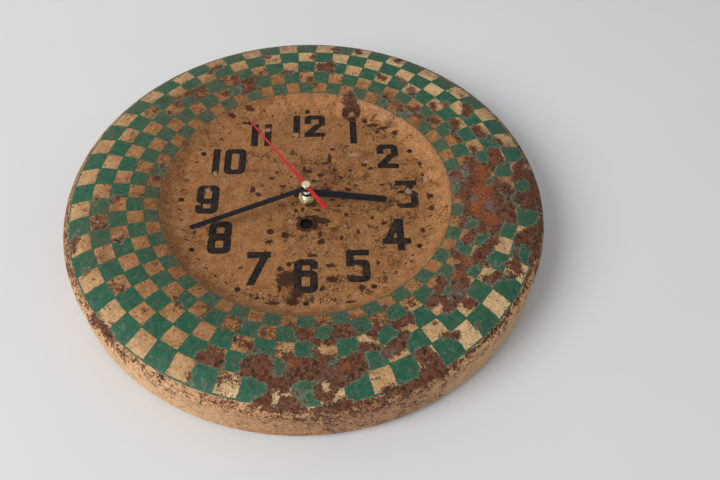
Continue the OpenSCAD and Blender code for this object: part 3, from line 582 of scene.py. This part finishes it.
# ---------------------------------------------------------------- mesh helpers
def in_scene(name, data):
    """A new object that shows a mesh, a light or a camera."""
    obj = bpy.data.objects.new(name, data)
    bpy.context.scene.collection.objects.link(obj)
    return obj


def new_object(name, verts, faces, materials, smooth=True):
    mesh = bpy.data.meshes.new(name)
    mesh.from_pydata([tuple(v) for v in verts], [], [tuple(f) for f in faces])
    mesh.update()
    for material in materials:
        mesh.materials.append(material)
    mesh.polygons.foreach_set("use_smooth", [smooth] * len(mesh.polygons))
    return in_scene(name, mesh)


def paint(obj, name, values):
    """Stores a value at each vertex, for the material to read by its name."""
    layer = obj.data.attributes.new(name, "FLOAT", "POINT")
    layer.data.foreach_set("value", np.asarray(values, np.float32))


def wave_field(x, y, size, seed):
    """Smooth random field about -1..1, with features about size across."""
    rng = np.random.default_rng(seed)
    total = np.zeros_like(x)
    for _ in range(24):
        angle, phase = rng.uniform(0, 2 * np.pi, 2)
        k = 2 * np.pi / size * rng.uniform(0.5, 1.3)
        total += np.sin(k * (x * np.cos(angle) + y * np.sin(angle)) + phase)
    return total / 7.0


def blobs(offsets):
    """1 in the middle of each patch, 0.5 on its outline, 0 outside. Takes offsets in half sizes."""
    return reduce(np.maximum, (np.clip(1.5 - np.hypot(*offset), 0, 1) for offset in offsets))


def blob_field(x, y, patches):
    """Patches given by the place of their middle."""
    return blobs(((x - px) / half_w, (y - py) / half_h) for px, py, half_w, half_h in patches)


def ring_blob_field(x, y, patches):
    """Patches given by the clock angle and radius of their middle."""
    radius, turn = np.hypot(x, y), np.degrees(np.arctan2(x, y))
    return blobs(
        (np.radians((turn - angle + 180) % 360 - 180) * at / half_along, (radius - at) / half_across)
        for angle, at, half_along, half_across in patches
    )


def stroke_field(x, y, strokes):
    """0.5 on each stroke's outline, rising inwards and falling outwards over soft mm."""
    soft = 3.0
    field = np.zeros_like(x)
    for angle_a, radius_a, angle_b, radius_b, half in strokes:
        turn_a, turn_b = math.radians(angle_a), math.radians(angle_b)
        ax, ay = radius_a * math.sin(turn_a), radius_a * math.cos(turn_a)
        run_x, run_y = radius_b * math.sin(turn_b) - ax, radius_b * math.cos(turn_b) - ay
        along = ((x - ax) * run_x + (y - ay) * run_y) / max(run_x ** 2 + run_y ** 2, 0.01)
        along = np.clip(along, 0, 1)
        away = np.hypot(x - ax - along * run_x, y - ay - along * run_y)
        field = np.maximum(field, np.clip(0.5 + (half - away) / (2 * soft), 0, 1))
    return field


def rim_field(x, y, z):
    """Rust along the rim, as thick as RIM_RUST says all round, and thinner down the wall."""
    radius = np.hypot(x, y)
    turn = np.degrees(np.arctan2(x, y)) % 360
    share = np.interp(turn, *RIM_RUST)
    height = z - DIAL_Z / MM
    fade = 0.3 + 0.7 * np.clip((height + 6) / 10, 0, 1)
    broad = 0.5 * share * fade * np.clip((radius - 168) / 3, 0, 1)
    crest, width = (np.interp(turn, CREST_RUST[0], row) for row in CREST_RUST[1:])
    band = crest * np.exp(-(((radius - 169 - width) / width) ** 2)) * (height > 0)
    return np.maximum(broad, band)


def paint_wear(obj):
    """Paints every wear value on the mesh from its plan position."""
    co = np.zeros(len(obj.data.vertices) * 3)
    obj.data.vertices.foreach_get("co", co)
    x, y, z = co.reshape(-1, 3).T / MM
    lip_rust = 0.85 * np.exp(-(((np.hypot(x, y + WINDING_Y) - 5.9) / 2.0) ** 2))
    rust = [stroke_field(x, y, RUST_STROKES), blob_field(x, y, DIAL_CHIPS), rim_field(x, y, z), lip_rust]
    paint(obj, "rust", np.maximum.reduce(rust))
    paint(obj, "orange", ring_blob_field(x, y, ORANGE_PATCHES))
    paint(obj, "grey", ring_blob_field(x, y, GREY_PATCHES))
    paint(obj, "pale", ring_blob_field(x, y, PALE_PATCHES))
    paint(obj, "speck", np.maximum(ring_blob_field(x, y, SPECK_PATCHES), blob_field(x, y, DIAL_SPECKS)))
    paint(obj, "cloud", np.maximum(ring_blob_field(x, y, GRIME_PATCHES), blob_field(x, y, DIAL_CLOUDS)))
    paint(obj, "rub", blob_field(x, y, DIAL_RUBS))


def sheet_warp(x, y):
    """How far the old sheet has warped out of true, in mm."""
    fade = np.clip((168 - np.hypot(x, y)) / 20, 0, 1)
    return 0.16 * wave_field(x, y, 70, SEED) * fade + 0.05 * wave_field(x, y, 18, SEED + 1) * fade


# ---------------------------------------------------------------- the case
def arc(centre, radius, start, end, steps):
    """Points of an arc from start to end, in degrees."""
    angles = np.radians(np.linspace(start, end, steps + 1))
    return np.c_[centre[0] + radius * np.cos(angles), centre[1] + radius * np.sin(angles)]


def case_profile():
    """Front and rear faces of the sheet as (radius, height above the dial) in mm."""
    sheet = SHEET / MM
    case_r = CASE_R / MM
    depth = DIAL_Z / MM
    crown = CROWN_H / MM
    edge_r, edge_h = RING_EDGES[0], 8.4
    crest_in, crest_out = 138, 145
    run, drop = crest_in - edge_r, crown - edge_h
    crown_in_r = (run * run + drop * drop) / (2 * drop)
    slope = math.degrees(math.asin(run / crown_in_r))
    wall = 50.0
    lip_r, crown_out_r, shoulder_at, curl_r, flange_r = 3.0, 60.0, 65.2, 8.0, 157.0

    def spot(radius, degrees):
        angle = math.radians(degrees)
        return np.array([radius * math.cos(angle), radius * math.sin(angle)])

    lip_c = np.array([edge_r, edge_h]) - spot(lip_r, 90 + slope)
    well_top = lip_c + spot(lip_r, 90 + wall)
    well_r = well_top[1] / (1 - math.cos(math.radians(wall)))
    well_c = np.array([well_top[0] - well_r * math.sin(math.radians(wall)), well_r])
    crown_in_c = (crest_in, crown - crown_in_r)
    crown_out_c = np.array([crest_out, crown - crown_out_r])
    start = crown_out_c + spot(crown_out_r, shoulder_at)
    shoulder_r = (case_r - start[0]) / (1 - math.cos(math.radians(shoulder_at)))
    shoulder_c = (case_r - shoulder_r, start[1] - shoulder_r * math.sin(math.radians(shoulder_at)))
    curl_c = (case_r - curl_r, curl_r - depth)

    def face(t, coarse):
        """One face of the sheet, t mm below the front, with coarse times fewer points than it."""
        dial = np.r_[np.arange(4.1, 16, 1.7), np.arange(16, 33, 0.8), np.arange(33, well_c[0] - 1, 1.5)]
        dial = dial[::coarse]
        wall_rows = 8 // coarse
        wall_z = np.linspace(shoulder_c[1], curl_c[1], wall_rows + 2)[1:-1]
        rows = [
            np.c_[dial, np.full(len(dial), -t)],
            arc(well_c, well_r + t, -90, wall - 90, 16 // coarse),
            arc(lip_c, lip_r - t, 90 + wall, 90 + slope, 4 // coarse)[1:],
            arc(crown_in_c, crown_in_r - t, 90 + slope, 90, 18 // coarse)[1:],
            np.array([[crown_out_c[0] - 3.5, crown - t], [crown_out_c[0], crown - t]]),
            arc(crown_out_c, crown_out_r - t, 90, shoulder_at, 16 // coarse)[1:],
            arc(shoulder_c, shoulder_r - t, shoulder_at, 0, 10 // coarse)[1:],
            np.c_[np.full(wall_rows, case_r - t), wall_z],
            arc(curl_c, curl_r - t, 0, -90, 10 // coarse),
            np.c_[np.linspace(curl_c[0], flange_r, 5)[1:], np.full(4, t - depth)],
        ]
        return np.concatenate(rows)

    return face(0.0, 1), face(sheet, 3)


def ring_columns(radius, height, is_front):
    """How many columns a row of the case has: close where the paint has detail."""
    if not is_front:
        return 128
    if radius < 45 or (radius > 150 and height < -10):
        return 256
    return 1024 if 104 < radius < 172 else 512


def stitch(columns):
    """Faces between rings of vertices whose numbers of columns are equal or differ twofold."""
    starts = np.cumsum([0] + columns[:-1])
    faces = []
    for row, count in enumerate(columns):
        after = (row + 1) % len(columns)
        s, t, next_count = starts[row], starts[after], columns[after]
        i = np.arange(min(count, next_count))
        j = (i + 1) % len(i)
        if count == next_count:
            faces += np.c_[s + i, t + i, t + j, s + j].tolist()
            continue
        few, many, order = (s, t, 1) if count < next_count else (t, s, -1)
        middle = many + 2 * i + 1
        for corners in (
            (few + i, many + 2 * i, middle), (few + i, middle, few + j), (few + j, middle, many + 2 * j),
        ):
            faces += np.c_[corners[::order]].tolist()
    return faces


def hole_lip(x, y):
    """Height of the lip that the punch raised round the winding hole, in mm."""
    middle_h, extra_h, highest_at = 0.85, 0.35, math.radians(40)
    lip_r, lip_w = 5.7, 0.95
    height = middle_h + extra_h * np.cos(np.arctan2(x, y + WINDING_Y) - highest_at)
    return height * np.exp(-(((np.hypot(x, y + WINDING_Y) - lip_r) / lip_w) ** 2))


def make_case(paint_material, steel_material):
    """One dense shell for the pressed case, with its winding hole cut through."""
    front, rear = case_profile()
    loop = np.concatenate([front, rear[::-1]])
    is_front = np.arange(len(loop)) < len(front)
    columns = [ring_columns(r, h, f) for (r, h), f in zip(loop, is_front)]
    angles = np.concatenate([np.arange(count) * 2 * np.pi / count for count in columns])
    radius, z, painted = (np.repeat(values, columns) for values in (loop[:, 0], loop[:, 1], is_front))
    x, y = radius * np.sin(angles), radius * np.cos(angles)
    z = z + sheet_warp(x, y) * np.clip((z + 6) / 4, 0, 1)
    z = z + painted * hole_lip(x, y)
    verts = np.c_[x, y, z + DIAL_Z / MM] * MM
    faces = stitch(columns)
    case = new_object("case_shell", verts, faces, [paint_material, steel_material])
    rear_start = int(np.sum(columns[:len(front)]))
    first, last = (np.array([pick(face) for face in faces]) for pick in (min, max))
    inside = (first >= rear_start) | ((last >= rear_start) & (first < columns[0]))
    case.data.polygons.foreach_set("material_index", inside.astype(np.int32))
    cut_winding_hole(case)
    paint_wear(case)
    return case


def cut_winding_hole(case):
    """Cuts the old winding hole through the case with a round bar."""
    build = bmesh.new()
    radius = WINDING_R * MM
    bmesh.ops.create_cone(
        build, cap_ends=True, segments=72, radius1=radius, radius2=radius, depth=12 * MM
    )
    cutter = in_scene("cutter", bpy.data.meshes.new("cutter"))
    build.to_mesh(cutter.data)
    build.free()
    cutter.location = (0, -WINDING_Y * MM, DIAL_Z)
    cut = case.modifiers.new("winding_hole", "BOOLEAN")
    cut.operation = "DIFFERENCE"
    cut.object = cutter
    cut.solver = "EXACT"
    bpy.context.view_layer.objects.active = case
    bpy.ops.object.modifier_apply(modifier=cut.name)
    bpy.data.objects.remove(cutter)


# ---------------------------------------------------------------- numerals and track
# Digits are drawn at this size in mm, and scaled to each numeral's height
STROKE = 5.4
DIGIT_W = 16.6
DIGIT_H = 27
PAINT_LIFT = 0.10


def box_sd(x, y, cx, cy, half_w, half_h, round_r=0.5):
    """Signed distance to a box with round corners: below 0 inside it."""
    dx = np.abs(x - cx) - half_w + round_r
    dy = np.abs(y - cy) - half_h + round_r
    return np.hypot(np.maximum(dx, 0), np.maximum(dy, 0)) + np.minimum(np.maximum(dx, dy), 0) - round_r


def bar_sd(x, y, x0, y0, x1, y1, half):
    """A straight stroke whose ends are cut level."""
    t = (y - y0) / (y1 - y0)
    centre = x0 + (x1 - x0) * t
    lean = math.hypot(x1 - x0, y1 - y0) / abs(y1 - y0)
    side = (np.abs(x - centre) - half * lean) / lean
    return np.maximum(side, np.maximum(min(y0, y1) - y, y - max(y0, y1)))


def bowl_sd(x, y, cy, half_h):
    """A box as wide as a digit, with round corners and its counter cut out."""
    half_w, outer_round, inner_round = DIGIT_W / 2, 4.6, 1.2
    outer = box_sd(x, y, 0, cy, half_w, half_h, outer_round)
    inner = box_sd(x, y, 0, cy, half_w - STROKE, half_h - STROKE * 0.93, inner_round)
    return np.maximum(outer, -inner)


def digit_sd(digit, x, y):
    """Signed distance to a digit DIGIT_H high and DIGIT_W wide, about its middle."""
    if digit == "9":
        digit, x, y = "6", -x, -y
    box, bar, bowl = (partial(shape, x, y) for shape in (box_sd, bar_sd, bowl_sd))
    half, top, side = STROKE / 2, DIGIT_H / 2, DIGIT_W / 2
    right, thin = side - half, half * 0.95
    if digit == "0":
        return bowl(0, top)
    if digit == "1":
        return box(0, 0, half, top, 0.4)
    if digit == "2":
        head = np.maximum(bowl(5.2, 8.3), 2.6 - y)
        foot = box(0, thin - top, side, thin)
        slash = bar(-5.0, 4 - top, 4.2, 2.5, half * 1.02)
        return np.minimum.reduce([head, box(right, 3.2, half, 3.0, 0.4), slash, foot])
    if digit == "3":
        bowl_open = np.maximum(bowl(-5.0, 8.5), -np.maximum(x + 0.6, np.abs(y + 4.2) - 5.0))
        head = box(0, top - thin, side, thin)
        return np.minimum.reduce([bowl_open, head, bar(-0.6, 0.6, 5.2, top - 2, half)])
    if digit == "4":
        stem = box(3.2, 0, half, top, 0.4)
        arm = box(0.4, -5.6, 10.2, half * 0.92, 0.4)
        return np.minimum.reduce([stem, arm, bar(-6.6, -6.0, 2.6, top, thin)])
    if digit == "5":
        bowl_open = np.maximum(bowl(-4.2, 9.3), -np.maximum(x + 1.0, np.abs(y + 3.4) - 4.2))
        head = box(0.4, top - half * 0.9, 7.6, half * 0.9)
        return np.minimum.reduce([bowl_open, head, box(-right, 6.2, half, 6.6, 0.4)])
    if digit == "6":
        head = np.maximum(bowl(0, top), -box(right, -1.0, half * 2, 6.2, 0.3))
        return np.minimum(bowl(-4.6, 8.9), head)
    if digit == "7":
        return np.minimum(box(0, top - thin, side, thin), bar(-5.2, -top, 5.4, top - 0.6, half * 0.98))
    return np.minimum(bowl(6.1, 7.6), bowl(-5.6, 7.9))


def dot_sd(x, y):
    return box_sd(x, y, 0, 0, 1.8, 1.8, 0.7)


def dash_sd(x, y):
    return box_sd(x, y, 0, 0, 0.45, 1.6, 0.3)


def decal(shape, half_w, half_h, step):
    """Grid mesh of a flat paint shape: its verts in mm and its faces."""
    columns = int(2 * half_w / step) + 3
    rows = int(2 * half_h / step) + 3
    xs = (np.arange(columns) - (columns - 1) / 2) * step
    ys = (np.arange(rows) - (rows - 1) / 2) * step
    x, y = np.meshgrid(xs, ys)
    for _ in range(3):
        distance = shape(x, y)
        tiny = 0.02
        gx = (shape(x + tiny, y) - shape(x - tiny, y)) / (2 * tiny)
        gy = (shape(x, y + tiny) - shape(x, y - tiny)) / (2 * tiny)
        size = np.maximum(gx * gx + gy * gy, 0.2)
        near = np.abs(distance) < 0.62 * step
        x = np.where(near, x - distance * gx / size, x)
        y = np.where(near, y - distance * gy / size, y)
    inside = shape(x, y) < 0.12 * step
    corners = inside[:-1, :-1] & inside[:-1, 1:] & inside[1:, :-1] & inside[1:, 1:]
    index = np.arange(rows * columns).reshape(rows, columns)
    quads = np.stack([index[:-1, :-1], index[:-1, 1:], index[1:, 1:], index[1:, :-1]], -1)[corners]
    used, flat = np.unique(quads, return_inverse=True)
    return np.c_[x.ravel(), y.ravel()][used], flat.reshape(-1, 4)


class Decals:
    """Gathers flat paint shapes and makes one thin raised mesh of them."""

    def __init__(self):
        self.points, self.quads, self.count = [], [], 0

    def add(self, shape, half_w, half_h, step, at, turn=0.0, scale=(1.0, 1.0)):
        points, quads = decal(shape, half_w, half_h, step)
        points = points * np.array(scale)
        c, s = math.cos(math.radians(turn)), math.sin(math.radians(turn))
        points = points @ np.array([[c, -s], [s, c]]) + np.array(at)
        self.points.append(points)
        self.quads.append(quads + self.count)
        self.count += len(points)

    def build(self, name, material, lift):
        points = np.concatenate(self.points)
        quads = np.concatenate(self.quads)
        beyond = np.maximum(np.hypot(points[:, 0], points[:, 1]) - WELL_START, 0)
        rise = WELL_CURVE - np.sqrt(WELL_CURVE ** 2 - beyond ** 2)
        z = DIAL_Z / MM + rise + sheet_warp(points[:, 0], points[:, 1]) + lift
        edges = np.concatenate([quads[:, [i, (i + 1) % 4]] for i in range(4)])
        keys = edges.min(1) * self.count + edges.max(1)
        _, first, tally = np.unique(keys, return_index=True, return_counts=True)
        rim = edges[first[tally == 1]]
        rim_points = np.unique(rim)
        below = np.full(self.count, -1)
        below[rim_points] = self.count + np.arange(len(rim_points))
        skirt = np.c_[points[rim_points], z[rim_points] - lift - 0.06]
        verts = np.concatenate([np.c_[points, z], skirt]) * MM
        walls = np.stack([rim[:, 1], rim[:, 0], below[rim[:, 0]], below[rim[:, 1]]], -1)
        obj = new_object(name, verts, np.concatenate([quads, walls]), [material], smooth=False)
        paint_wear(obj)
        return obj


# Numerals: text, centre in mm, height in mm
NUMERALS = [
    ("12", (1.4, 76), 24.6), ("1", (36.6, 68), 25), ("2", (62.6, 41.6), 25.5), ("3", (74.6, 2.4), 27),
    ("4", (64, -35.6), 28.6), ("5", (36, -62.5), 27.4), ("6", (-0.2, -70.2), 28), ("7", (-33, -63), 28),
    ("8", (-61.6, -35.6), 28.8), ("9", (-73.4, 0.2), 27.6), ("10", (-60, 38.2), 26.4),
    ("11", (-36.5, 66.4), 24.6),
]


def make_numerals(material):
    made = []
    for text, centre, height in NUMERALS:
        group = Decals()
        widths = [STROKE if c == "1" else DIGIT_W for c in text]
        gap = 5.0 if text == "11" else 3.6
        at = centre[0] - (sum(widths) + gap * (len(text) - 1)) / 2
        for char, width in zip(text, widths):
            place = (at + width / 2, centre[1])
            group.add(partial(digit_sd, char), 11, 14, 0.45, place, 0, (1, height / DIGIT_H))
            at += width + gap
        made.append(group.build("numeral_" + text, material, PAINT_LIFT))
    return made


def make_track(dot_material, dash_material):
    """A square dot at each hour and a dash at every other minute."""
    dots, dashes = Decals(), Decals()
    for minute in range(60):
        degrees = minute * 6
        radians = math.radians(degrees)
        at = (DOT_R * math.sin(radians), DOT_R * math.cos(radians))
        if minute % 5:
            dashes.add(dash_sd, 1, 2.2, 0.3, at, -degrees)
        else:
            dots.add(dot_sd, 2.2, 2.2, 0.35, at, -degrees)
    return [
        dots.build("hour_dots", dot_material, PAINT_LIFT),
        dashes.build("minute_dashes", dash_material, PAINT_LIFT),
    ]


# ---------------------------------------------------------------- turned and cut metal pieces
def spun(name, profile, around, material, reshape=None):
    """A closed solid of revolution about Z from (radius, height) points in mm."""
    profile = np.asarray(profile, float)
    angles = np.linspace(0, 2 * np.pi, around, endpoint=False)
    radius = np.repeat(profile[:, :1], around, 1)
    z = np.repeat(profile[:, 1:], around, 1)
    if reshape:
        radius, z = reshape(radius, z, angles[None, :])
    verts = np.c_[(radius * np.sin(angles)).ravel(), (radius * np.cos(angles)).ravel(), z.ravel()] * MM
    row = np.arange(len(profile))[:, None] * around
    col = np.arange(around)[None, :]
    after, side = (row + around) % (len(profile) * around), (col + 1) % around
    faces = np.stack([row + col, after + col, after + side, row + side], -1).reshape(-1, 4)
    return new_object(name, verts, faces, [material])


def shade_by_angle(obj, degrees):
    build = bmesh.new()
    build.from_mesh(obj.data)
    bmesh.ops.recalc_face_normals(build, faces=build.faces)
    for edge in build.edges:
        edge.smooth = edge.calc_face_angle(0) < math.radians(degrees)
    build.to_mesh(obj.data)
    build.free()


def make_bushing(material):
    """The brass bushing, with the fine thread that the nut runs on."""
    low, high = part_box("threaded_bushing")
    flange_r, bore_r, shaft_r = high.x / MM, 2.65, 4.0
    bottom, top, flange_t = low.z / MM, high.z / MM, 1.0
    pitch, depth = 0.75, 0.42
    thread = np.arange(bottom + flange_t + 0.3, top - 0.3, 0.075)
    shelf = bottom + flange_t
    profile = [(bore_r, bottom), (flange_r, bottom), (flange_r, shelf), (shaft_r, shelf)]
    profile += [(shaft_r, z) for z in thread]
    profile += [(shaft_r - 0.35, top), (bore_r + 0.15, top), (bore_r, top - 0.15)]
    first, last = 4, 4 + len(thread)

    def cut(radius, z, angles):
        phase = (z / pitch - angles / (2 * np.pi)) % 1.0
        groove = depth * np.abs(2 * phase - 1)
        rows = np.zeros_like(radius)
        rows[first:last] = 1
        return radius - groove * rows, z

    bushing = spun("bushing_threaded", profile, 96, material, cut)
    shade_by_angle(bushing, 50)
    return bushing


def make_nut(material):
    """A hex nut with its corners turned off at both ends."""
    turn = math.radians(NUT_TURN)
    corner_r = nut_high.x / MM / math.cos(math.pi / 6 - turn)
    flat_r, bore_r = corner_r * math.cos(math.pi / 6), 4.05
    bottom, top = nut_low.z / MM, nut_high.z / MM
    rise = math.tan(math.radians(28))

    profile = [(bore_r, bottom), (flat_r, bottom), (0, bottom), (0, top), (flat_r, top)]
    profile += [(bore_r + 0.4, top), (bore_r, top - 0.4)]

    def shape(radius, z, angles):
        """Puts the rows of radius 0 on the hexagon, lowered towards its corners."""
        side = angles - np.pi / 6 - turn
        corner = (side + np.pi / 6) % (np.pi / 3) - np.pi / 6
        outline = flat_r / np.cos(corner + 0 * radius)
        drop = (outline - flat_r) * rise
        new_r = np.where(radius == 0, outline, radius)
        new_z = np.where(radius == 0, np.where(z < (bottom + top) / 2, z + drop, z - drop), z)
        return np.where(radius == flat_r, flat_r * 0.985, new_r), new_z

    nut = spun("nut_chamfered", profile, 144, material, shape)
    shade_by_angle(nut, 25)
    return nut


def soften(node, width):
    """A copy of a CAD node with its hard edges broken, which stands for it."""
    hard, smooth = math.radians(35), math.radians(30)
    build = bmesh.new()
    build.from_mesh(frame["nodes"][node].data)
    bmesh.ops.remove_doubles(build, verts=build.verts, dist=2e-6)
    bmesh.ops.dissolve_limit(build, angle_limit=math.radians(1), verts=build.verts, edges=build.edges)
    edges = [e for e in build.edges if e.is_manifold and e.calc_face_angle(0) > hard]
    bmesh.ops.bevel(
        build, geom=edges, offset=width * MM, segments=2,
        profile=0.5, affect="EDGES", clamp_overlap=True,
    )
    for edge in build.edges:
        edge.smooth = edge.calc_face_angle(0) < smooth
    for face in build.faces:
        face.smooth = True
    mesh = bpy.data.meshes.new(node + "_finished")
    build.to_mesh(mesh)
    build.free()
    mesh.materials.append(FINISHES[SLOT_OF[node]])
    stand_for(in_scene(node + "_finished", mesh), node)


def stand_for(piece, node):
    """Lets a piece ride in a CAD node's place."""
    body = next(b for b, nodes in frame["record"]["behaviour"]["bodies"].items() if node in nodes)
    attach(piece, body)
    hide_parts(node)


# ---------------------------------------------------------------- studio
def make_floor():
    s = Shade("floor_paint")
    tone = s.mix(s.fit(s.noise(400, 3, 0.5), 0.3, 0.7), (0.64, 0.65, 0.665), (0.68, 0.69, 0.70))
    material = s.finish(tone, 0.7, Specular_IOR_Level=0.1)
    corners = [(-3, -3, 0), (3, -3, 0), (3, 3, 0), (-3, 3, 0)]
    floor = new_object("floor", corners, [(0, 1, 2, 3)], [material])


def area_light(name, place, target, size, power, colour):
    light = bpy.data.lights.new(name, "AREA")
    light.shape = "DISK"
    light.size, light.energy, light.color = size, power, colour
    lamp = in_scene(name, light)
    lamp.location = place
    lamp.rotation_euler = (Vector(place) - Vector(target)).to_track_quat("Z", "Y").to_euler()


def make_studio():
    world = bpy.data.worlds.new("studio")
    world.use_nodes = True
    world.node_tree.nodes["Background"].inputs["Color"].default_value = (0.97, 0.99, 1.0, 1)
    world.node_tree.nodes["Background"].inputs["Strength"].default_value = 0.5
    bpy.context.scene.world = world
    target = (0, 0, DIAL_Z)
    area_light("window_light", (-1.95, -1.17, 1.78 + DIAL_Z), target, 1.9, 77, (1.0, 0.98, 0.96))
    bpy.context.scene.view_settings.view_transform = "Standard"


def make_camera():
    """Seen from below 6 o'clock and above, aimed right of and below the hands' axis."""
    aim = Vector((0.0381, -0.0401, DIAL_Z))
    distance, turn, rise, roll = 0.52404, math.radians(-3.558), math.radians(52.78), math.radians(1.813)
    back = Vector((math.sin(turn) * math.cos(rise), -math.cos(turn) * math.cos(rise), math.sin(rise)))
    data = bpy.data.cameras.new("camera")
    data.lens, data.sensor_width = 36.75, 36.0
    camera = in_scene("camera", data)
    tilt = back.to_track_quat("Z", "Y").to_matrix() @ Matrix.Rotation(roll, 3, "Z")
    camera.matrix_world = Matrix.Translation(aim + back * distance) @ tilt.to_4x4()
    bpy.context.scene.camera = camera


# ---------------------------------------------------------------- put together
SLOT_OF = {part["node"]: part["material_slot"] for part in frame["record"]["subparts"]}
PAINT = make_case_paint()
INSIDE = make_bare_steel()
INK_PAINT = make_ink("numeral_ink")
TRACK_PAINT = make_ink("track_ink", 0.10)
RECIPES = {
    "plain_steel": (make_metal, (0.30, 0.29, 0.28), (0.42, 0.41, 0.40), 0.42, 0.6),
    "bright_steel": (make_metal, (0.90, 0.91, 0.93), (0.96, 0.96, 0.97), 0.32, 0.0, 0.6),
    "brass": (make_metal, (0.88, 0.74, 0.42), (0.94, 0.82, 0.52), 0.36, 0.0, 0.7),
    "hand_black": (make_enamel, (0.006, 0.0065, 0.008), (0.010, 0.011, 0.013), 0.45),
    "hand_red": (make_enamel, (0.56, 0.022, 0.024), (0.48, 0.018, 0.020), 0.36),
    "rubber": (make_plastic, (0.018, 0.018, 0.018), (0.032, 0.031, 0.03), 0.75, 0.6),
    # The movement housing is black plastic, darkened further as painted shade so that the deep winding
    # hole over it reads black
    "housing_plastic": (make_plastic, (0.005, 0.005, 0.0055), (0.009, 0.009, 0.0095), 0.55, 0.35, 0.1),
    "wheel_plastic": (make_plastic, (0.72, 0.70, 0.62), (0.64, 0.61, 0.52), 0.4),
    "knob_plastic": (make_plastic, (0.74, 0.73, 0.69), (0.62, 0.60, 0.54), 0.4),
    "chip_black": (make_plastic, (0.01, 0.01, 0.011), (0.018, 0.018, 0.02), 0.25),
    "magnet_gray": (make_metal, (0.10, 0.10, 0.105), (0.17, 0.17, 0.175), 0.5, 0.3),
}
FINISHES = {name: make(name, *values) for name, (make, *values) in RECIPES.items()}
FINISHES["case_paint"] = PAINT
FINISHES["battery_jacket"] = make_battery()
FINISHES["board_green"] = make_board()
FINISHES["copper_wire"] = make_copper()
for node, slot in SLOT_OF.items():
    mesh = frame["nodes"][node].data
    mesh.materials.clear()
    mesh.materials.append(FINISHES[slot])

case = make_case(PAINT, INSIDE)
stand_for(case, "dial_case")
for piece in make_numerals(INK_PAINT) + make_track(INK_PAINT, TRACK_PAINT):
    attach(piece, "case")
stand_for(make_bushing(FINISHES["brass"]), "threaded_bushing")
stand_for(make_nut(FINISHES["brass"]), "hex_nut")
for node, width in (
    ("hour_hand", 0.09), ("minute_hand", 0.08), ("second_hand", 0.06), ("second_hand_cap", 0.1),
    ("second_hand_tube", 0.08), ("hour_hand_bushing", 0.08), ("minute_hand_bushing", 0.12),
    ("movement_housing", 0.25), ("movement_back_cover", 0.25), ("cover_screws", 0.08),
    ("hanging_bracket", 0.3), ("bracket_rivets", 0.2), ("setting_knob", 0.15), ("battery", 0.25),
):
    soften(node, width)
make_floor()
make_studio()
make_camera()
